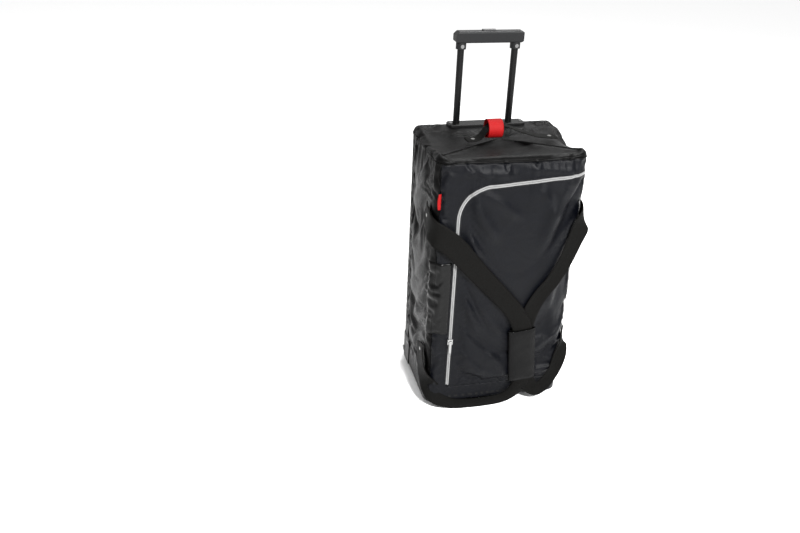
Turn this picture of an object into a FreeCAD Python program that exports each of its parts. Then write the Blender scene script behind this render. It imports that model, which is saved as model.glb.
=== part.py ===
import FreeCAD, Part
import os
import re

import Sketcher

# Wheeled travel bag with a telescopic handle, standing upright.
# Millimetres, +Z up, the opening flap faces -Y, the handle and wheels are at +Y.
# The origin is on the floor, under the middle of the bag.

SIZES = {
    # soft body
    "bag_wide": 350, "bag_deep": 245, "bag_tall": 662, "wall": 3,
    "front_round": 28, "back_round": 18, "top_round": 16,
    "seam_front": "=bag_deep / 2 - front_round", "seam_back": 70, "seam_top": "=bag_tall - top_round",
    # moulded base
    "base_low": 18, "rim_top": 36, "base_round": 12, "board_thick": 3,
    # flap and its zip
    "flap_left": 122, "flap_low": 62, "flap_drop": 74, "flap_rise": 36,
    "flap_top": "=bag_tall - flap_drop", "flap_round": 80,
    "flap_back": 100, "zip_gap": 0.3, "zip_half": 4.2, "zip_tall": 2.2, "zip_low": 70,
    "slider_place": 196, "slider_tall": 14, "slider_thick": 1.6, "slide_clear": 0.5,
    "pull_long": 30, "pull_wide": 5.6, "pull_thick": 1.6, "pull_pin": 0.9, "pull_clear": 0.05,
    "pin_out": 1.4, "ear_gap": 0.3, "ear_thick": 1.2, "ear_tall": 4.8,
    # wheels in their corner housings
    "wheel_across": 150, "wheel_deep": 108, "wheel_round": 38, "wheel_wide": 24,
    "tyre_thick": 10, "rim_round": "=wheel_round - tyre_thick", "bush_round": 7, "axle_round": 4,
    "run_clear": 0.05,
    "well_clear": 3, "cheek": 12, "house_front": 56, "house_top": 94, "house_out": 2,
    "house_edge": 6, "axle_lip": 3, "axle_head": 2, "tyre_edge": 4, "bush_out": 1, "house_screw_head": 2.2,
    "rear_screw_long": 12, "side_screw_long": 8,
    "hub_edge": 5, "hub_foot": 8, "web_in": 7, "rim_step": 6, "rim_lip": 3, "rim_in": 1,
    "rear_screw_in": 22, "rear_screw_drop": 9, "side_screw_in": 9, "side_screw_drop": 12,
    # telescopic handle
    "handle_shift": -9, "tube_apart": 130, "tube_deep": 96, "tube_round": 8, "tube_wall": 1.2,
    "sleeve_wall": 2, "sleeve_round": "=tube_round + sleeve_wall", "slide_fit": 0.08, "tube_low": 300,
    "tube_out": 180,
    "travel_down": 171, "travel_up": 160, "sleeve_low": 26, "foot_top": 52,
    "foot_over": 23, "foot_half": 14, "sleeve_drop": 2, "stop_play": 0.2, "rod_play": 0.3, "pin_nose": 1,
    "bezel_edge": 2, "bezel_screw_in": 8, "bezel_screw_long": 10, "bezel_screw_head": 1.4,
    "bracket_screw": 14,
    "bezel_side": 22, "bezel_wide": "=tube_apart + 2 * (tube_round + bezel_side)", "bezel_deep": 36,
    "bezel_sink": 8, "bezel_proud": 6, "bezel_lip": 8,
    "grip_wide": 162, "grip_deep": 26, "socket_tall": 14, "grip_tall": 26, "grip_round": 8,
    "grip_bevel": 5, "grip_chin": 4, "grip_brow": 3, "grip_heel": 4, "socket_wall": 4, "socket_over": 6,
    "way_play": 0.5, "button_play": 0.4, "button_edge": 1.5, "grip_screw_up": 7, "grip_screw_long": 4,
    "grip_screw_head": 1.2, "bar_over": 4, "bar_half": 5, "rod_clear": 2,
    "grip_wall": 3, "cover_tall": 10, "button_wide": 32, "button_deep": 12, "button_proud": 3,
    "press": 3, "bar_high": 10, "bar_thick": 4, "rod_round": 1.5,
    "plug_tall": 36, "pin_round": 3, "pin_up": 12, "pin_clear": 0.05,
    "spring_round": 4, "spring_wire": 0.8, "spring_turns": 4,
    # feet, boards and panels inside
    "board_side": 25, "board_front": 28, "board_gap": 2, "board_ease": 5, "board_drop": 8,
    "lining_gap": 0.5, "lining_half": 1, "lining_drop": 4, "foot_taper": 2, "foot_recess": 0.6,
    "screw_head": 2,
    "foot_across": 110, "foot_front": 85, "foot_round": 13, "screw_round": 2, "head_round": 4.2,
    "lining_deep": 83, "board_back": "=bag_deep / 2 - wall", "board_deep": 2.5,
    # webbing straps, wrap and grab handle
    "web_wide": 56, "web_thick": 2.4, "layer_out": 10.7, "layer_step": 3.6,
    "left_layer": "=bag_deep / 2 + layer_out", "right_layer": "=left_layer + layer_step", "strap_edge": 25,
    "left_cross_x": 26, "left_cross_z": 300, "left_floor_x": -10, "left_floor_z": 30,
    "right_cross_x": 34, "right_cross_z": 310, "right_floor_x": 122, "right_floor_z": 34,
    "wrap_top_x": 60, "wrap_top_z": 222, "wrap_low_x": 77, "wrap_low_z": 44,
    "turn_in_left": 10, "turn_low_left": 70, "turn_in_right": 12, "turn_low_right": 50,
    "anchor_high": 508, "anchor_low": 150, "anchor_deep": 84, "rivet_round": 4.5,
    "rivet_in": 12, "rivet_tall": 1.6, "cuff_over": 0.6, "cuff_side": 1,
    "wrap_wide": 74, "wrap_deep": 21, "wrap_round": 8, "wrap_play": 1.6,
    "wrap_above": 8, "wrap_below": 30, "slot_over": 9,
    "grab_shift": 24, "grab_span": 184, "grab_rise": 42, "grab_wide": 34, "grab_thick": 3,
    "grab_deep": -20, "grab_off": 0.2, "grab_end": 16, "grab_flat": 18, "grab_peak_left": 60,
    "grab_peak_right": 10, "cuff_back": 45, "cuff_long": 34, "cuff_thick": 2.5, "cuff_lift": 6,
    # trim
    "piping_round": 2, "patch_thick": 1, "patch_low": 218, "patch_high": 407, "patch_gap": 2,
    "tag_low": 540, "tag_high": 577, "tag_out": 14, "tag_thick": 1,
}

doc = FreeCAD.newDocument("WheeledBag")
sheet = doc.addObject("Spreadsheet::Sheet", "Sizes")
for row, (alias, size) in enumerate(SIZES.items(), start=1):
    sheet.set(f"A{row}", alias)
    sheet.set(f"B{row}", str(size))
    sheet.setAlias(f"B{row}", alias)
doc.recompute()

X, Y, Z = FreeCAD.Vector(1, 0, 0), FreeCAD.Vector(0, 1, 0), FreeCAD.Vector(0, 0, 1)
TURNS = {"x": FreeCAD.Rotation(Y, 90), "y": FreeCAD.Rotation(X, -90), "z": FreeCAD.Rotation()}
NAMED_SIDES = {"left": -1, "right": 1}
pieces = []


def cell(text):
    """Puts the sheet's name before each alias in an expression."""
    return re.sub(r"[a-z]\w*", lambda m: f"Sizes.{m[0]}" if m[0] in SIZES else m[0], str(text))


def value(text):
    found = sheet.evalExpression(cell(text))
    return float(getattr(found, "Value", found))


def bind(thing, **expressions):
    for prop, text in expressions.items():
        thing.setExpression(prop, cell(text))
    return thing


def move(thing, x=0, y=0, z=0):
    for axis, text in zip("xyz", (x, y, z)):
        thing.setExpression(f"Placement.Base.{axis}", cell(text))
    return thing


def piece(thing, name):
    """Marks an object as a sub-part: its Label is the name of its file."""
    thing.Label = name
    pieces.append(thing)
    return thing


def box(name, x, y, z):
    """A box from three (low, high) pairs of expressions."""
    thing = doc.addObject("Part::Box", name)
    bind(thing, Length=f"({x[1]}) - ({x[0]})", Width=f"({y[1]}) - ({y[0]})", Height=f"({z[1]}) - ({z[0]})")
    return move(thing, x[0], y[0], z[0])


def rod(name, radius, length, at, along="z"):
    """A cylinder that starts at a point and runs along an axis."""
    thing = doc.addObject("Part::Cylinder", name)
    bind(thing, Radius=radius, Height=length)
    thing.Placement = FreeCAD.Placement(FreeCAD.Vector(), TURNS[along])
    return move(thing, *at)


def join(name, *things):
    thing = doc.addObject("Part::MultiFuse", name)
    thing.Shapes = list(things)
    return thing


def cut(name, base, *tools):
    thing = doc.addObject("Part::Cut", name)
    thing.Base = base
    thing.Tool = tools[0] if len(tools) == 1 else join(f"{name}_tools", *tools)
    return thing


def overlap(name, base, tool):
    thing = doc.addObject("Part::Common", name)
    thing.Base = base
    thing.Tool = tool
    return thing


def group(name, things):
    thing = doc.addObject("Part::Compound", name)
    thing.Links = list(things)
    return thing


def outline(body, name, role, points, start=0):
    """A closed sketch on one of the body's own planes, each corner tied to the sheet."""
    sketch = body.newObject("Sketcher::SketchObject", name)
    plane = [f for f in body.Origin.OriginFeatures if f.Role == role][0]
    sketch.AttachmentSupport = (plane, [""])
    sketch.MapMode = "FlatFace"
    facing = -1 if role == "XZ_Plane" else 1
    sketch.setExpression("AttachmentOffset.Base.z", cell(f"{facing} * ({start})"))
    corners = [FreeCAD.Vector(value(a), value(b), 0) for a, b in points]
    count = len(corners)
    for i in range(count):
        sketch.addGeometry(Part.LineSegment(corners[i], corners[(i + 1) % count]), False)
    for i in range(count):
        sketch.addConstraint(Sketcher.Constraint("Coincident", i, 2, (i + 1) % count, 1))
    for i, (a, b) in enumerate(points):
        for kind, text in (("DistanceX", a), ("DistanceY", b)):
            number = sketch.addConstraint(Sketcher.Constraint(kind, -1, 1, i, 1, value(text)))
            sketch.setExpression(f"Constraints[{number}]", cell(text))
    return sketch


def plate(name, role, points, start, thick):
    """A padded outline that grows from start towards the positive side of its plane."""
    body = doc.addObject("PartDesign::Body", name)
    pad = body.newObject("PartDesign::Pad", f"{name}_pad")
    pad.Profile = outline(body, f"{name}_outline", role, points, start)
    pad.Reversed = role == "XZ_Plane"
    bind(pad, Length=thick)
    body.Tip = pad
    return body


def spun(name, points):
    """A solid of revolution about Z from an outline of (radius, height) corners."""
    body = doc.addObject("PartDesign::Body", name)
    turn = body.newObject("PartDesign::Revolution", f"{name}_turn")
    sketch = outline(body, f"{name}_outline", "XZ_Plane", points)
    turn.Profile = sketch
    turn.ReferenceAxis = (sketch, ["V_Axis"])
    turn.Angle = 360
    body.Tip = turn
    return body


def soften(body, radius, chosen, kind="Fillet"):
    """Rounds, or chamfers, the edges whose bounds pass the test."""
    doc.recompute()
    base = body.Tip
    names = [f"Edge{i}" for i, e in enumerate(base.Shape.Edges, start=1) if chosen(e.BoundBox)]
    feature = body.newObject(f"PartDesign::{kind}", f"{body.Name}_{kind}_{len(body.Group)}")
    feature.Base = (base, names)
    bind(feature, **{"Radius" if kind == "Fillet" else "Size": radius})
    body.Tip = feature
    return body


def rectangle(x, y):
    return [(x[0], y[0]), (x[1], y[0]), (x[1], y[1]), (x[0], y[1])]


def level(b, text):
    """An edge that lies flat at a height."""
    return abs(b.ZMin - value(text)) < 0.01 and b.ZLength < 0.01


def upright(b):
    return b.ZLength > 1 and b.XLength < 0.01 and b.YLength < 0.01


def rounded_form(name, grow, low, high, round_top):
    """The bag's outer form, grown or shrunk evenly, as a solid block."""
    x = f"bag_wide / 2 + ({grow})"
    y = f"bag_deep / 2 + ({grow})"
    body = plate(name, "XY_Plane", rectangle((f"-({x})", x), (f"-({y})", y)), low, f"({high}) - ({low})")
    soften(body, f"front_round + ({grow})", lambda b: upright(b) and b.YMax < 0)
    soften(body, f"back_round + ({grow})", lambda b: upright(b) and b.YMin > 0)
    if round_top:
        soften(body, round_top, lambda b: level(b, high))
    return body


def flap_block(name, grow):
    """The prism that the flap's edge follows: it wraps the right-hand front corner."""
    left = f"-flap_left - ({grow})"
    top = f"flap_top + ({grow})"
    low = f"flap_low - ({grow})"
    points = [(left, low), ("bag_wide", low), ("bag_wide", f"{top} + flap_rise"), (left, top)]
    body = plate(name, "XZ_Plane", points, "-bag_deep", f"bag_deep - flap_back + ({grow})")
    reach, roof = value(left) + 0.01, value(top) - 0.01
    return soften(body, f"flap_round + ({grow})",
                  lambda b: b.YLength > 1 and b.XMax < reach and b.ZMin > roof)


def screw(name, at, along, towards, length, proud):
    """A round-headed screw: at is the seat of its head, towards is the way its shank goes."""
    x, y, z = (f"({v})" for v in at)
    seat = dict(zip("xyz", (x, y, z)))
    head_from = dict(seat)
    shank_from = dict(seat)
    if towards > 0:
        head_from[along] = f"{seat[along]} - ({proud})"
    else:
        shank_from[along] = f"{seat[along]} - ({length})"
    head = rod(f"{name}_head", "head_round", proud, head_from.values(), along)
    shank = rod(f"{name}_shank", "screw_round", length, shank_from.values(), along)
    return join(name, head, shank)


# ---- forms that several pieces share ----
outer = rounded_form("outer_form", 0, "rim_top", "bag_tall", "top_round")
inner = rounded_form("inner_form", "-wall", "rim_top", "bag_tall - wall", "top_round - wall")
house_forms = {}
for side, sign in NAMED_SIDES.items():
    inside = f"{sign} * (wheel_across - wheel_wide / 2 - well_clear - cheek)"
    outside = f"{sign} * (bag_wide / 2 + house_out)"
    ends = (outside, inside) if sign < 0 else (inside, outside)
    rear = "bag_deep / 2 + house_out"
    block = plate(f"house_form_{side}", "XY_Plane", rectangle(ends, ("house_front", rear)),
                  "base_low", "house_top - base_low")
    soften(block, "back_round + house_out",
           lambda b: upright(b) and b.YMin > 0 and b.YMax > value("bag_deep / 2")
           and abs(b.XMin) > value("wheel_across"))
    soften(block, "house_edge", lambda b: level(b, "house_top"))
    house_forms[side] = block
houses = join("house_forms", *house_forms.values())
shell = cut("soft_shell", outer, inner, houses)

# ---- soft body: panels that meet at their seams ----
far = "bag_wide"
for side, sign in NAMED_SIDES.items():
    across = ("-" + far, "0") if sign < 0 else ("0", far)
    region = box(f"side_region_{side}", across, ("-seam_front", "seam_back"), ("0", "seam_top"))
    piece(overlap(f"side_panel_{side}", shell, region), f"side_panel_{side}")

back_region = box("back_region", ("-" + far, far), ("seam_back", far), ("0", "seam_top"))
piece(overlap("back_panel", shell, back_region), "back_panel")

frame_region = box("frame_region", ("-" + far, far), ("-" + far, "-seam_front"), ("0", "seam_top"))
flap_hole = flap_block("flap_hole", "zip_gap")
piece(cut("front_frame", overlap("front_band", shell, frame_region), flap_hole), "front_frame")

flap_region = flap_block("flap_region", "-zip_gap")
piece(overlap("flap", shell, flap_region), "flap")

# ---- zip: two rows of teeth along the flap's edge, a slider and its pull ----
zip_form = rounded_form("zip_form", "zip_tall", "zip_low", "seam_top", None)
zip_skin = cut("zip_skin", zip_form, outer)
zip_hole = flap_block("zip_hole", "zip_half")
zip_heart = flap_block("zip_heart", "-zip_half")
frame_row = overlap("frame_row", zip_skin, zip_hole)
piece(cut("zip_teeth_frame", frame_row, flap_hole), "zip_teeth_frame")
flap_row = overlap("flap_row", zip_skin, flap_region)
piece(cut("zip_teeth_flap", flap_row, zip_heart), "zip_teeth_flap")

face = "-bag_deep / 2"
slider_face = f"{face} - zip_tall - slide_clear"
slider_half = "zip_half + slide_clear + slider_thick"
pin_line = f"{slider_face} - slider_thick - pull_thick / 2 - pin_out"
ear_centre = "(pull_wide / 2 + ear_gap + ear_thick / 2)"
channel = plate("slider_channel", "XY_Plane", [
    (f"-flap_left - ({slider_half})", f"{face} - slide_clear"),
    (f"-flap_left - ({slider_half})", f"{slider_face} - slider_thick"),
    (f"-flap_left + ({slider_half})", f"{slider_face} - slider_thick"),
    (f"-flap_left + ({slider_half})", f"{face} - slide_clear"),
    ("-flap_left + zip_half + slide_clear", f"{face} - slide_clear"),
    ("-flap_left + zip_half + slide_clear", slider_face),
    ("-flap_left - zip_half - slide_clear", slider_face),
    ("-flap_left - zip_half - slide_clear", f"{face} - slide_clear"),
], "slider_place - slider_tall / 2", "slider_tall")
ears = [
    box(f"slider_ear_{side}",
        (f"-flap_left + {sign} * {ear_centre} - ear_thick / 2",
        f"-flap_left + {sign} * {ear_centre} + ear_thick / 2"),
        (f"{pin_line} - pull_thick", f"{slider_face} - slider_thick"),
        ("slider_place - ear_tall / 2", "slider_place + ear_tall / 2"))
    for side, sign in NAMED_SIDES.items()
]
bridge = rod("slider_bridge", "pull_pin", f"2 * {ear_centre}",
             (f"-flap_left - {ear_centre}", pin_line, "slider_place"), "x")
piece(join("zip_slider", channel, *ears, bridge), "zip_slider")

pull_eye = rod("pull_eye", "pull_thick", "pull_wide",
               ("-flap_left - pull_wide / 2", pin_line, "slider_place"), "x")
pull_blade = box("pull_blade", ("-flap_left - pull_wide / 2", "-flap_left + pull_wide / 2"),
                 (f"{pin_line} - pull_thick / 2", f"{pin_line} + pull_thick / 2"),
                 ("slider_place - pull_long", "slider_place"))
pull_bore = rod("pull_bore", "pull_pin + pull_clear", "pull_wide + 2",
                ("-flap_left - pull_wide / 2 - 1", pin_line, "slider_place"), "x")
piece(cut("zip_pull", join("pull_blank", pull_eye, pull_blade), pull_bore), "zip_pull")

# ---- moulded base tray with feet, and the stiff boards inside ----
tray_block = rounded_form("tray_block", 0, "base_low", "rim_top", None)
soften(tray_block, "base_round", lambda b: level(b, "base_low"))
tray_hollow = rounded_form("tray_hollow", "-wall", "base_low + wall", "rim_top + 1", None)
soften(tray_hollow, "base_round - wall", lambda b: level(b, "base_low + wall"))
feet = []
foot_screws = []
for side, sign in NAMED_SIDES.items():
    foot = spun(f"foot_{side}", [("0", "0"), ("foot_round - foot_taper", "0"),
                                 ("foot_round", "base_low"), ("0", "base_low")])
    move(foot, f"{sign} * foot_across", "-foot_front", 0)
    recess = rod(f"foot_recess_{side}", "head_round + foot_recess", "base_low / 2",
                 (f"{sign} * foot_across", "-foot_front", 0))
    fixing = screw(f"foot_screw_{side}", (f"{sign} * foot_across", "-foot_front", "base_low / 2"), "z", 1,
                   "base_low / 2 + wall", "screw_head")
    feet.append(cut(f"foot_cut_{side}", foot, recess, fixing))
    foot_screws.append(fixing)
piece(group("front_feet", feet), "front_feet")
piece(group("foot_screws", foot_screws), "foot_screws")

foot_block = box("tube_foot_block", ("handle_shift - tube_apart / 2 - foot_over",
                                     "handle_shift + tube_apart / 2 + foot_over"),
                 ("tube_deep - foot_half", "tube_deep + foot_half"), ("base_low + wall", "foot_top"))
sockets = [
    rod(f"tube_socket_{side}", "sleeve_round", "foot_top",
        (f"handle_shift + {sign} * tube_apart / 2", "tube_deep", "sleeve_low"))
    for side, sign in NAMED_SIDES.items()
]
bracket_screws = [
    screw(f"bracket_screw_{side}", (f"handle_shift + {sign} * tube_apart / 4", "tube_deep", "base_low"),
          "z", 1, "wall + bracket_screw", "screw_head")
    for side, sign in NAMED_SIDES.items()
]
piece(group("tube_foot_screws", bracket_screws), "tube_foot_screws")
piece(cut("tube_foot", foot_block, *sockets, *bracket_screws), "tube_foot")
piece(cut("base_tray", tray_block, tray_hollow, houses, *foot_screws, *bracket_screws), "base_tray")

piece(box("base_board", ("-bag_wide / 2 + board_side", "bag_wide / 2 - board_side"),
          ("-bag_deep / 2 + board_front", "house_front - board_gap"),
          ("base_low + wall", "base_low + wall + board_thick")), "base_board")
piece(box("back_board", ("-bag_wide / 2 + back_round + board_ease",
                         "bag_wide / 2 - back_round - board_ease"),
          ("board_back - board_deep", "board_back"),
          ("house_top + board_gap", "seam_top - board_drop")), "back_board")
piece(box("lining_panel", ("-bag_wide / 2 + wall + lining_gap", "bag_wide / 2 - wall - lining_gap"),
          ("lining_deep - lining_half", "lining_deep + lining_half"),
          ("house_top + board_gap", "seam_top - lining_drop")), "lining_panel")

# ---- wheels, each on a fixed axle between the cheeks of its housing ----
for side, sign in NAMED_SIDES.items():
    centre = f"{sign} * wheel_across"
    well = rod(f"wheel_well_{side}", "wheel_round + well_clear", "wheel_wide + 2 * well_clear",
               (f"{centre} - wheel_wide / 2 - well_clear", "wheel_deep", "wheel_round"), "x")
    pin_inside = f"{sign} * (wheel_across - wheel_wide / 2 - well_clear - cheek)"
    pin_outside = f"{sign} * (bag_wide / 2 + house_out)"
    start, end = (pin_outside, pin_inside) if sign < 0 else (pin_inside, pin_outside)
    axle_pin = rod(f"axle_pin_{side}", "axle_round", f"({end}) - ({start})",
                   (start, "wheel_deep", "wheel_round"), "x")
    axle_head = rod(f"axle_head_{side}", "axle_round + axle_lip", "axle_head",
                    (pin_outside if sign > 0 else f"{pin_outside} - axle_head", "wheel_deep",
                    "wheel_round"), "x")
    axle = piece(join(f"axle_{side}", axle_pin, axle_head), f"axle_{side}")
    fixings = [
        screw(f"house_screw_rear_{side}", (f"{sign} * (wheel_across - rear_screw_in)",
                                           "bag_deep / 2 + house_out",
                                                "house_top - rear_screw_drop"),
              "y", -1, "rear_screw_long", "house_screw_head"),
        screw(f"house_screw_side_{side}", (pin_outside, "house_front + side_screw_in",
                                           "house_top - side_screw_drop"),
              "x", -sign, "side_screw_long", "house_screw_head"),
    ]
    screws = piece(group(f"housing_screws_{side}", fixings), f"housing_screws_{side}")
    piece(cut(f"wheel_housing_{side}", house_forms[side], well, axle, *fixings), f"wheel_housing_{side}")

    half = "wheel_wide / 2"
    tyre = spun(f"tyre_blank_{side}", [("rim_round", f"-{half}"), ("wheel_round", f"-{half}"),
                                       ("wheel_round", half), ("rim_round", half)])
    soften(tyre, "tyre_edge", lambda b: b.XMax > value("wheel_round") - 0.01 and b.ZLength < 0.01)
    rim = spun(f"wheel_rim_blank_{side}", [
        ("bush_round", f"-{half}"), ("bush_round + hub_edge", f"-{half}"),
        ("bush_round + hub_foot", f"-{half} + web_in"),
        ("rim_round - rim_step", f"-{half} + web_in"), ("rim_round - rim_lip", f"-{half} + rim_in"),
        ("rim_round", f"-{half} + rim_in"),
        ("rim_round", f"{half} - rim_in"), ("rim_round - rim_lip", f"{half} - rim_in"),
        ("rim_round - rim_step", f"{half} - web_in"),
        ("bush_round + hub_foot", f"{half} - web_in"), ("bush_round + hub_edge", half),
        ("bush_round", half)])
    bush = spun(f"wheel_bush_blank_{side}", [
        ("axle_round + run_clear", f"-{half} - bush_out"), ("bush_round", f"-{half} - bush_out"),
        ("bush_round", f"{half} + bush_out"), ("axle_round + run_clear", f"{half} + bush_out")])
    for blank, label in ((tyre, "wheel_tyre"), (rim, "wheel_rim"), (bush, "wheel_bush")):
        blank.Placement = FreeCAD.Placement(FreeCAD.Vector(), TURNS["x"])
        piece(move(blank, centre, "wheel_deep", "wheel_round"), f"{label}_{side}")

# ---- telescopic handle: fixed sleeves, sliding tubes, grip and release ----
grip_low = "bag_tall + tube_out"
floor_high = f"{grip_low} + socket_tall"
grip_top = f"{grip_low} + socket_tall + grip_tall"
bezel = plate("bezel_plate", "XY_Plane",
              rectangle(("-bezel_wide / 2", "bezel_wide / 2"),
                        ("tube_deep - bezel_deep / 2", "tube_deep + bezel_deep / 2")),
              "bag_tall - bezel_sink", "bezel_proud + bezel_sink")
soften(bezel, "bezel_lip", upright)
soften(bezel, "bezel_edge", lambda b: level(b, "bag_tall + bezel_proud"))
sleeve_holes = []
for side, sign in NAMED_SIDES.items():
    across = f"handle_shift + {sign} * tube_apart / 2"
    out = "sleeve_round + 2"
    sleeve = rod(f"sleeve_outside_{side}", "sleeve_round", "bag_tall - sleeve_drop - sleeve_low",
                 (across, "tube_deep", "sleeve_low"))
    bore = rod(f"sleeve_bore_{side}", "tube_round + slide_fit", "bag_tall",
               (across, "tube_deep", "sleeve_low - 1"))
    stops = [
        rod(f"stop_hole_{name}_{side}", "pin_round + stop_play", out,
            (across if sign > 0 else f"{across} - ({out})", "tube_deep",
            f"tube_low + pin_up + ({shift})"), "x")
        for name, shift in (("high", "travel_up"), ("low", "-travel_down"))
    ]
    piece(cut(f"outer_tube_{side}", sleeve, bore, *stops), f"outer_tube_{side}")
    sleeve_holes += [sleeve, bore]

    tube = rod(f"tube_outside_{side}", "tube_round", f"{floor_high} - tube_low",
               (across, "tube_deep", "tube_low"))
    hollow = rod(f"tube_hollow_{side}", "tube_round - tube_wall", f"{floor_high} - tube_low + 2",
                 (across, "tube_deep", "tube_low - 1"))
    pin_hole = rod(f"tube_pin_hole_{side}", "pin_round + pin_clear", out,
                   (across if sign > 0 else f"{across} - ({out})", "tube_deep", "tube_low + pin_up"), "x")
    piece(cut(f"inner_tube_{side}", tube, hollow, pin_hole), f"inner_tube_{side}")

    plug = rod(f"plug_blank_{side}", "tube_round - tube_wall", "plug_tall",
               (across, "tube_deep", "tube_low"))
    reach = "tube_round + press + pin_nose"
    pin_bore = rod(f"pin_bore_{side}", "pin_round + pin_clear", reach,
                   (f"{across} - press - pin_nose" if sign > 0
                    else f"{across} + press + pin_nose - ({reach})",
                    "tube_deep", "tube_low + pin_up"), "x")
    rod_bore = rod(f"rod_bore_{side}", "rod_round + rod_play", "plug_tall",
                   (across, "tube_deep", "tube_low + pin_up"))
    piece(cut(f"lock_plug_{side}", plug, pin_bore, rod_bore), f"lock_plug_{side}")
    pin_long = "sqrt(tube_round ^ 2 - pin_round ^ 2) - pin_nose"
    piece(rod(f"lock_pin_{side}", "pin_round", pin_long,
              (f"{across} + pin_nose" if sign > 0 else f"{across} - pin_nose - ({pin_long})",
              "tube_deep", "tube_low + pin_up"), "x"),
          f"lock_pin_{side}")

bezel_screws = [
    screw(f"bezel_screw_{side}",
          (f"{sign} * (bezel_wide / 2 - bezel_screw_in)", "tube_deep", "bag_tall + bezel_proud"),
          "z", -1, "bezel_screw_long", "bezel_screw_head")
    for side, sign in NAMED_SIDES.items()
]
piece(group("bezel_screws", bezel_screws), "bezel_screws")
piece(cut("handle_bezel", bezel, *sleeve_holes, *bezel_screws), "handle_bezel")
top_region = box("top_region", ("-" + far, far), ("-" + far, far), ("seam_top", "2 * bag_tall"))
top_blank = overlap("top_blank", shell, top_region)
piece(cut("top_panel", top_blank, bezel, *sleeve_holes[::2]), "top_panel")

grip_left, grip_right = "handle_shift - grip_wide / 2", "handle_shift + grip_wide / 2"
grip_sides = ("tube_deep - grip_deep / 2", "tube_deep + grip_deep / 2")
grip_bar = plate("grip_bar", "XZ_Plane", [
    (grip_left, f"{floor_high} + grip_chin"), (f"{grip_left} + grip_bevel", floor_high),
    (f"{grip_right} - grip_bevel", floor_high),
    (grip_right, f"{floor_high} + grip_chin"), (grip_right, f"{grip_top} - grip_brow"),
    (f"{grip_right} - grip_heel", grip_top),
    (f"{grip_left} + grip_round", grip_top), (grip_left, f"{grip_top} - grip_round"),
], grip_sides[0], "grip_deep")
soften(grip_bar, "grip_heel", lambda b: b.XLength > 60 and b.YLength < 0.01)
grip_sockets = [
    rod(f"grip_socket_{side}", "tube_round + socket_wall", "socket_tall + socket_over",
        (f"handle_shift + {sign} * tube_apart / 2", "tube_deep", grip_low))
    for side, sign in NAMED_SIDES.items()
]
grip_blank = join("grip_blank", grip_bar, *grip_sockets)
cavity = box("grip_cavity", (f"{grip_left} + grip_wall + socket_wall",
                             f"{grip_right} - grip_wall - socket_wall"),
             (f"{grip_sides[0]} + grip_wall", f"{grip_sides[1]} - grip_wall"),
             (f"{floor_high} + grip_wall", f"{grip_top} - grip_heel"))
tube_seats = [
    rod(f"tube_seat_{side}", "tube_round", "socket_tall + 1",
        (f"handle_shift + {sign} * tube_apart / 2", "tube_deep", f"{grip_low} - 1"))
    for side, sign in NAMED_SIDES.items()
]
rod_ways = [
    rod(f"rod_way_{side}", "rod_round + way_play", "socket_tall + grip_wall + 1",
        (f"handle_shift + {sign} * tube_apart / 2", "tube_deep", grip_low))
    for side, sign in NAMED_SIDES.items()
]
button_slot = box("button_slot", ("handle_shift - button_wide / 2 - button_play",
                                  "handle_shift + button_wide / 2 + button_play"),
                  ("tube_deep - button_deep / 2 - button_play",
                  "tube_deep + button_deep / 2 + button_play"),
                  (f"{grip_top} - 8", f"{grip_top} + 2"))
grip_screws = [
    screw(f"grip_screw_{side}",
          (f"handle_shift + {sign} * tube_apart / 2", "tube_deep - tube_round - socket_wall",
           f"{grip_low} + grip_screw_up"),
          "y", 1, "grip_screw_long", "grip_screw_head")
    for side, sign in NAMED_SIDES.items()
]
piece(group("grip_screws", grip_screws), "grip_screws")
split = f"{grip_top} - cover_tall"
cover_region = box("cover_region", ("-" + far, far), ("0", far), (split, f"{grip_top} + 9"))
grip_shell = cut("grip_shell", grip_blank, cavity, *tube_seats, *rod_ways, button_slot, *grip_screws)
piece(cut("grip_body", grip_shell, cover_region), "grip_body")
piece(overlap("grip_cover", grip_shell, cover_region), "grip_cover")

bar_middle = f"{floor_high} + grip_wall + bar_high"
piece(box("release_bar", ("handle_shift - tube_apart / 2 - bar_over",
                          "handle_shift + tube_apart / 2 + bar_over"),
                          ("tube_deep - bar_half", "tube_deep + bar_half"),
          (f"{bar_middle} - bar_thick / 2", f"{bar_middle} + bar_thick / 2")), "release_bar")
button = plate("button_block", "XY_Plane",
               rectangle(("handle_shift - button_wide / 2", "handle_shift + button_wide / 2"),
                         ("tube_deep - button_deep / 2", "tube_deep + button_deep / 2")),
               f"{bar_middle} + bar_thick / 2",
               f"{grip_top} + button_proud - ({bar_middle}) - bar_thick / 2")
soften(button, "button_edge", lambda b: level(b, f"{grip_top} + button_proud"))
piece(button, "release_button")
rods = [
    rod(f"release_rod_{side}", "rod_round",
        f"{bar_middle} - bar_thick / 2 - tube_low - pin_up - pin_round - press - rod_clear",
        (f"handle_shift + {sign} * tube_apart / 2", "tube_deep",
        "tube_low + pin_up + pin_round + press + rod_clear"))
    for side, sign in NAMED_SIDES.items()
]
piece(group("release_rods", rods), "release_rods")

spring_long = value("bar_high - bar_thick / 2 - spring_wire")
coil = Part.makeHelix(spring_long / value("spring_turns"), spring_long, value("spring_round"))
wire = Part.Wire(Part.makeCircle(value("spring_wire / 2"), FreeCAD.Vector(value("spring_round"), 0, 0), Y))
spring = doc.addObject("Part::Feature", "return_spring")
spring.Shape = Part.Wire(coil).makePipeShell([wire], True, True)
spring.Placement = FreeCAD.Placement()
piece(move(spring, "handle_shift", "tube_deep", f"{floor_high} + grip_wall + spring_wire / 2"),
      "return_spring")

# ---- carry straps: two webbing loops that droop in front and pass through one wrap ----
web_side = "bag_wide / 2 + zip_tall + slide_clear"
wrap_top = ("wrap_top_x", "wrap_top_z")
wrap_bottom = ("wrap_low_x", "wrap_low_z")


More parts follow.
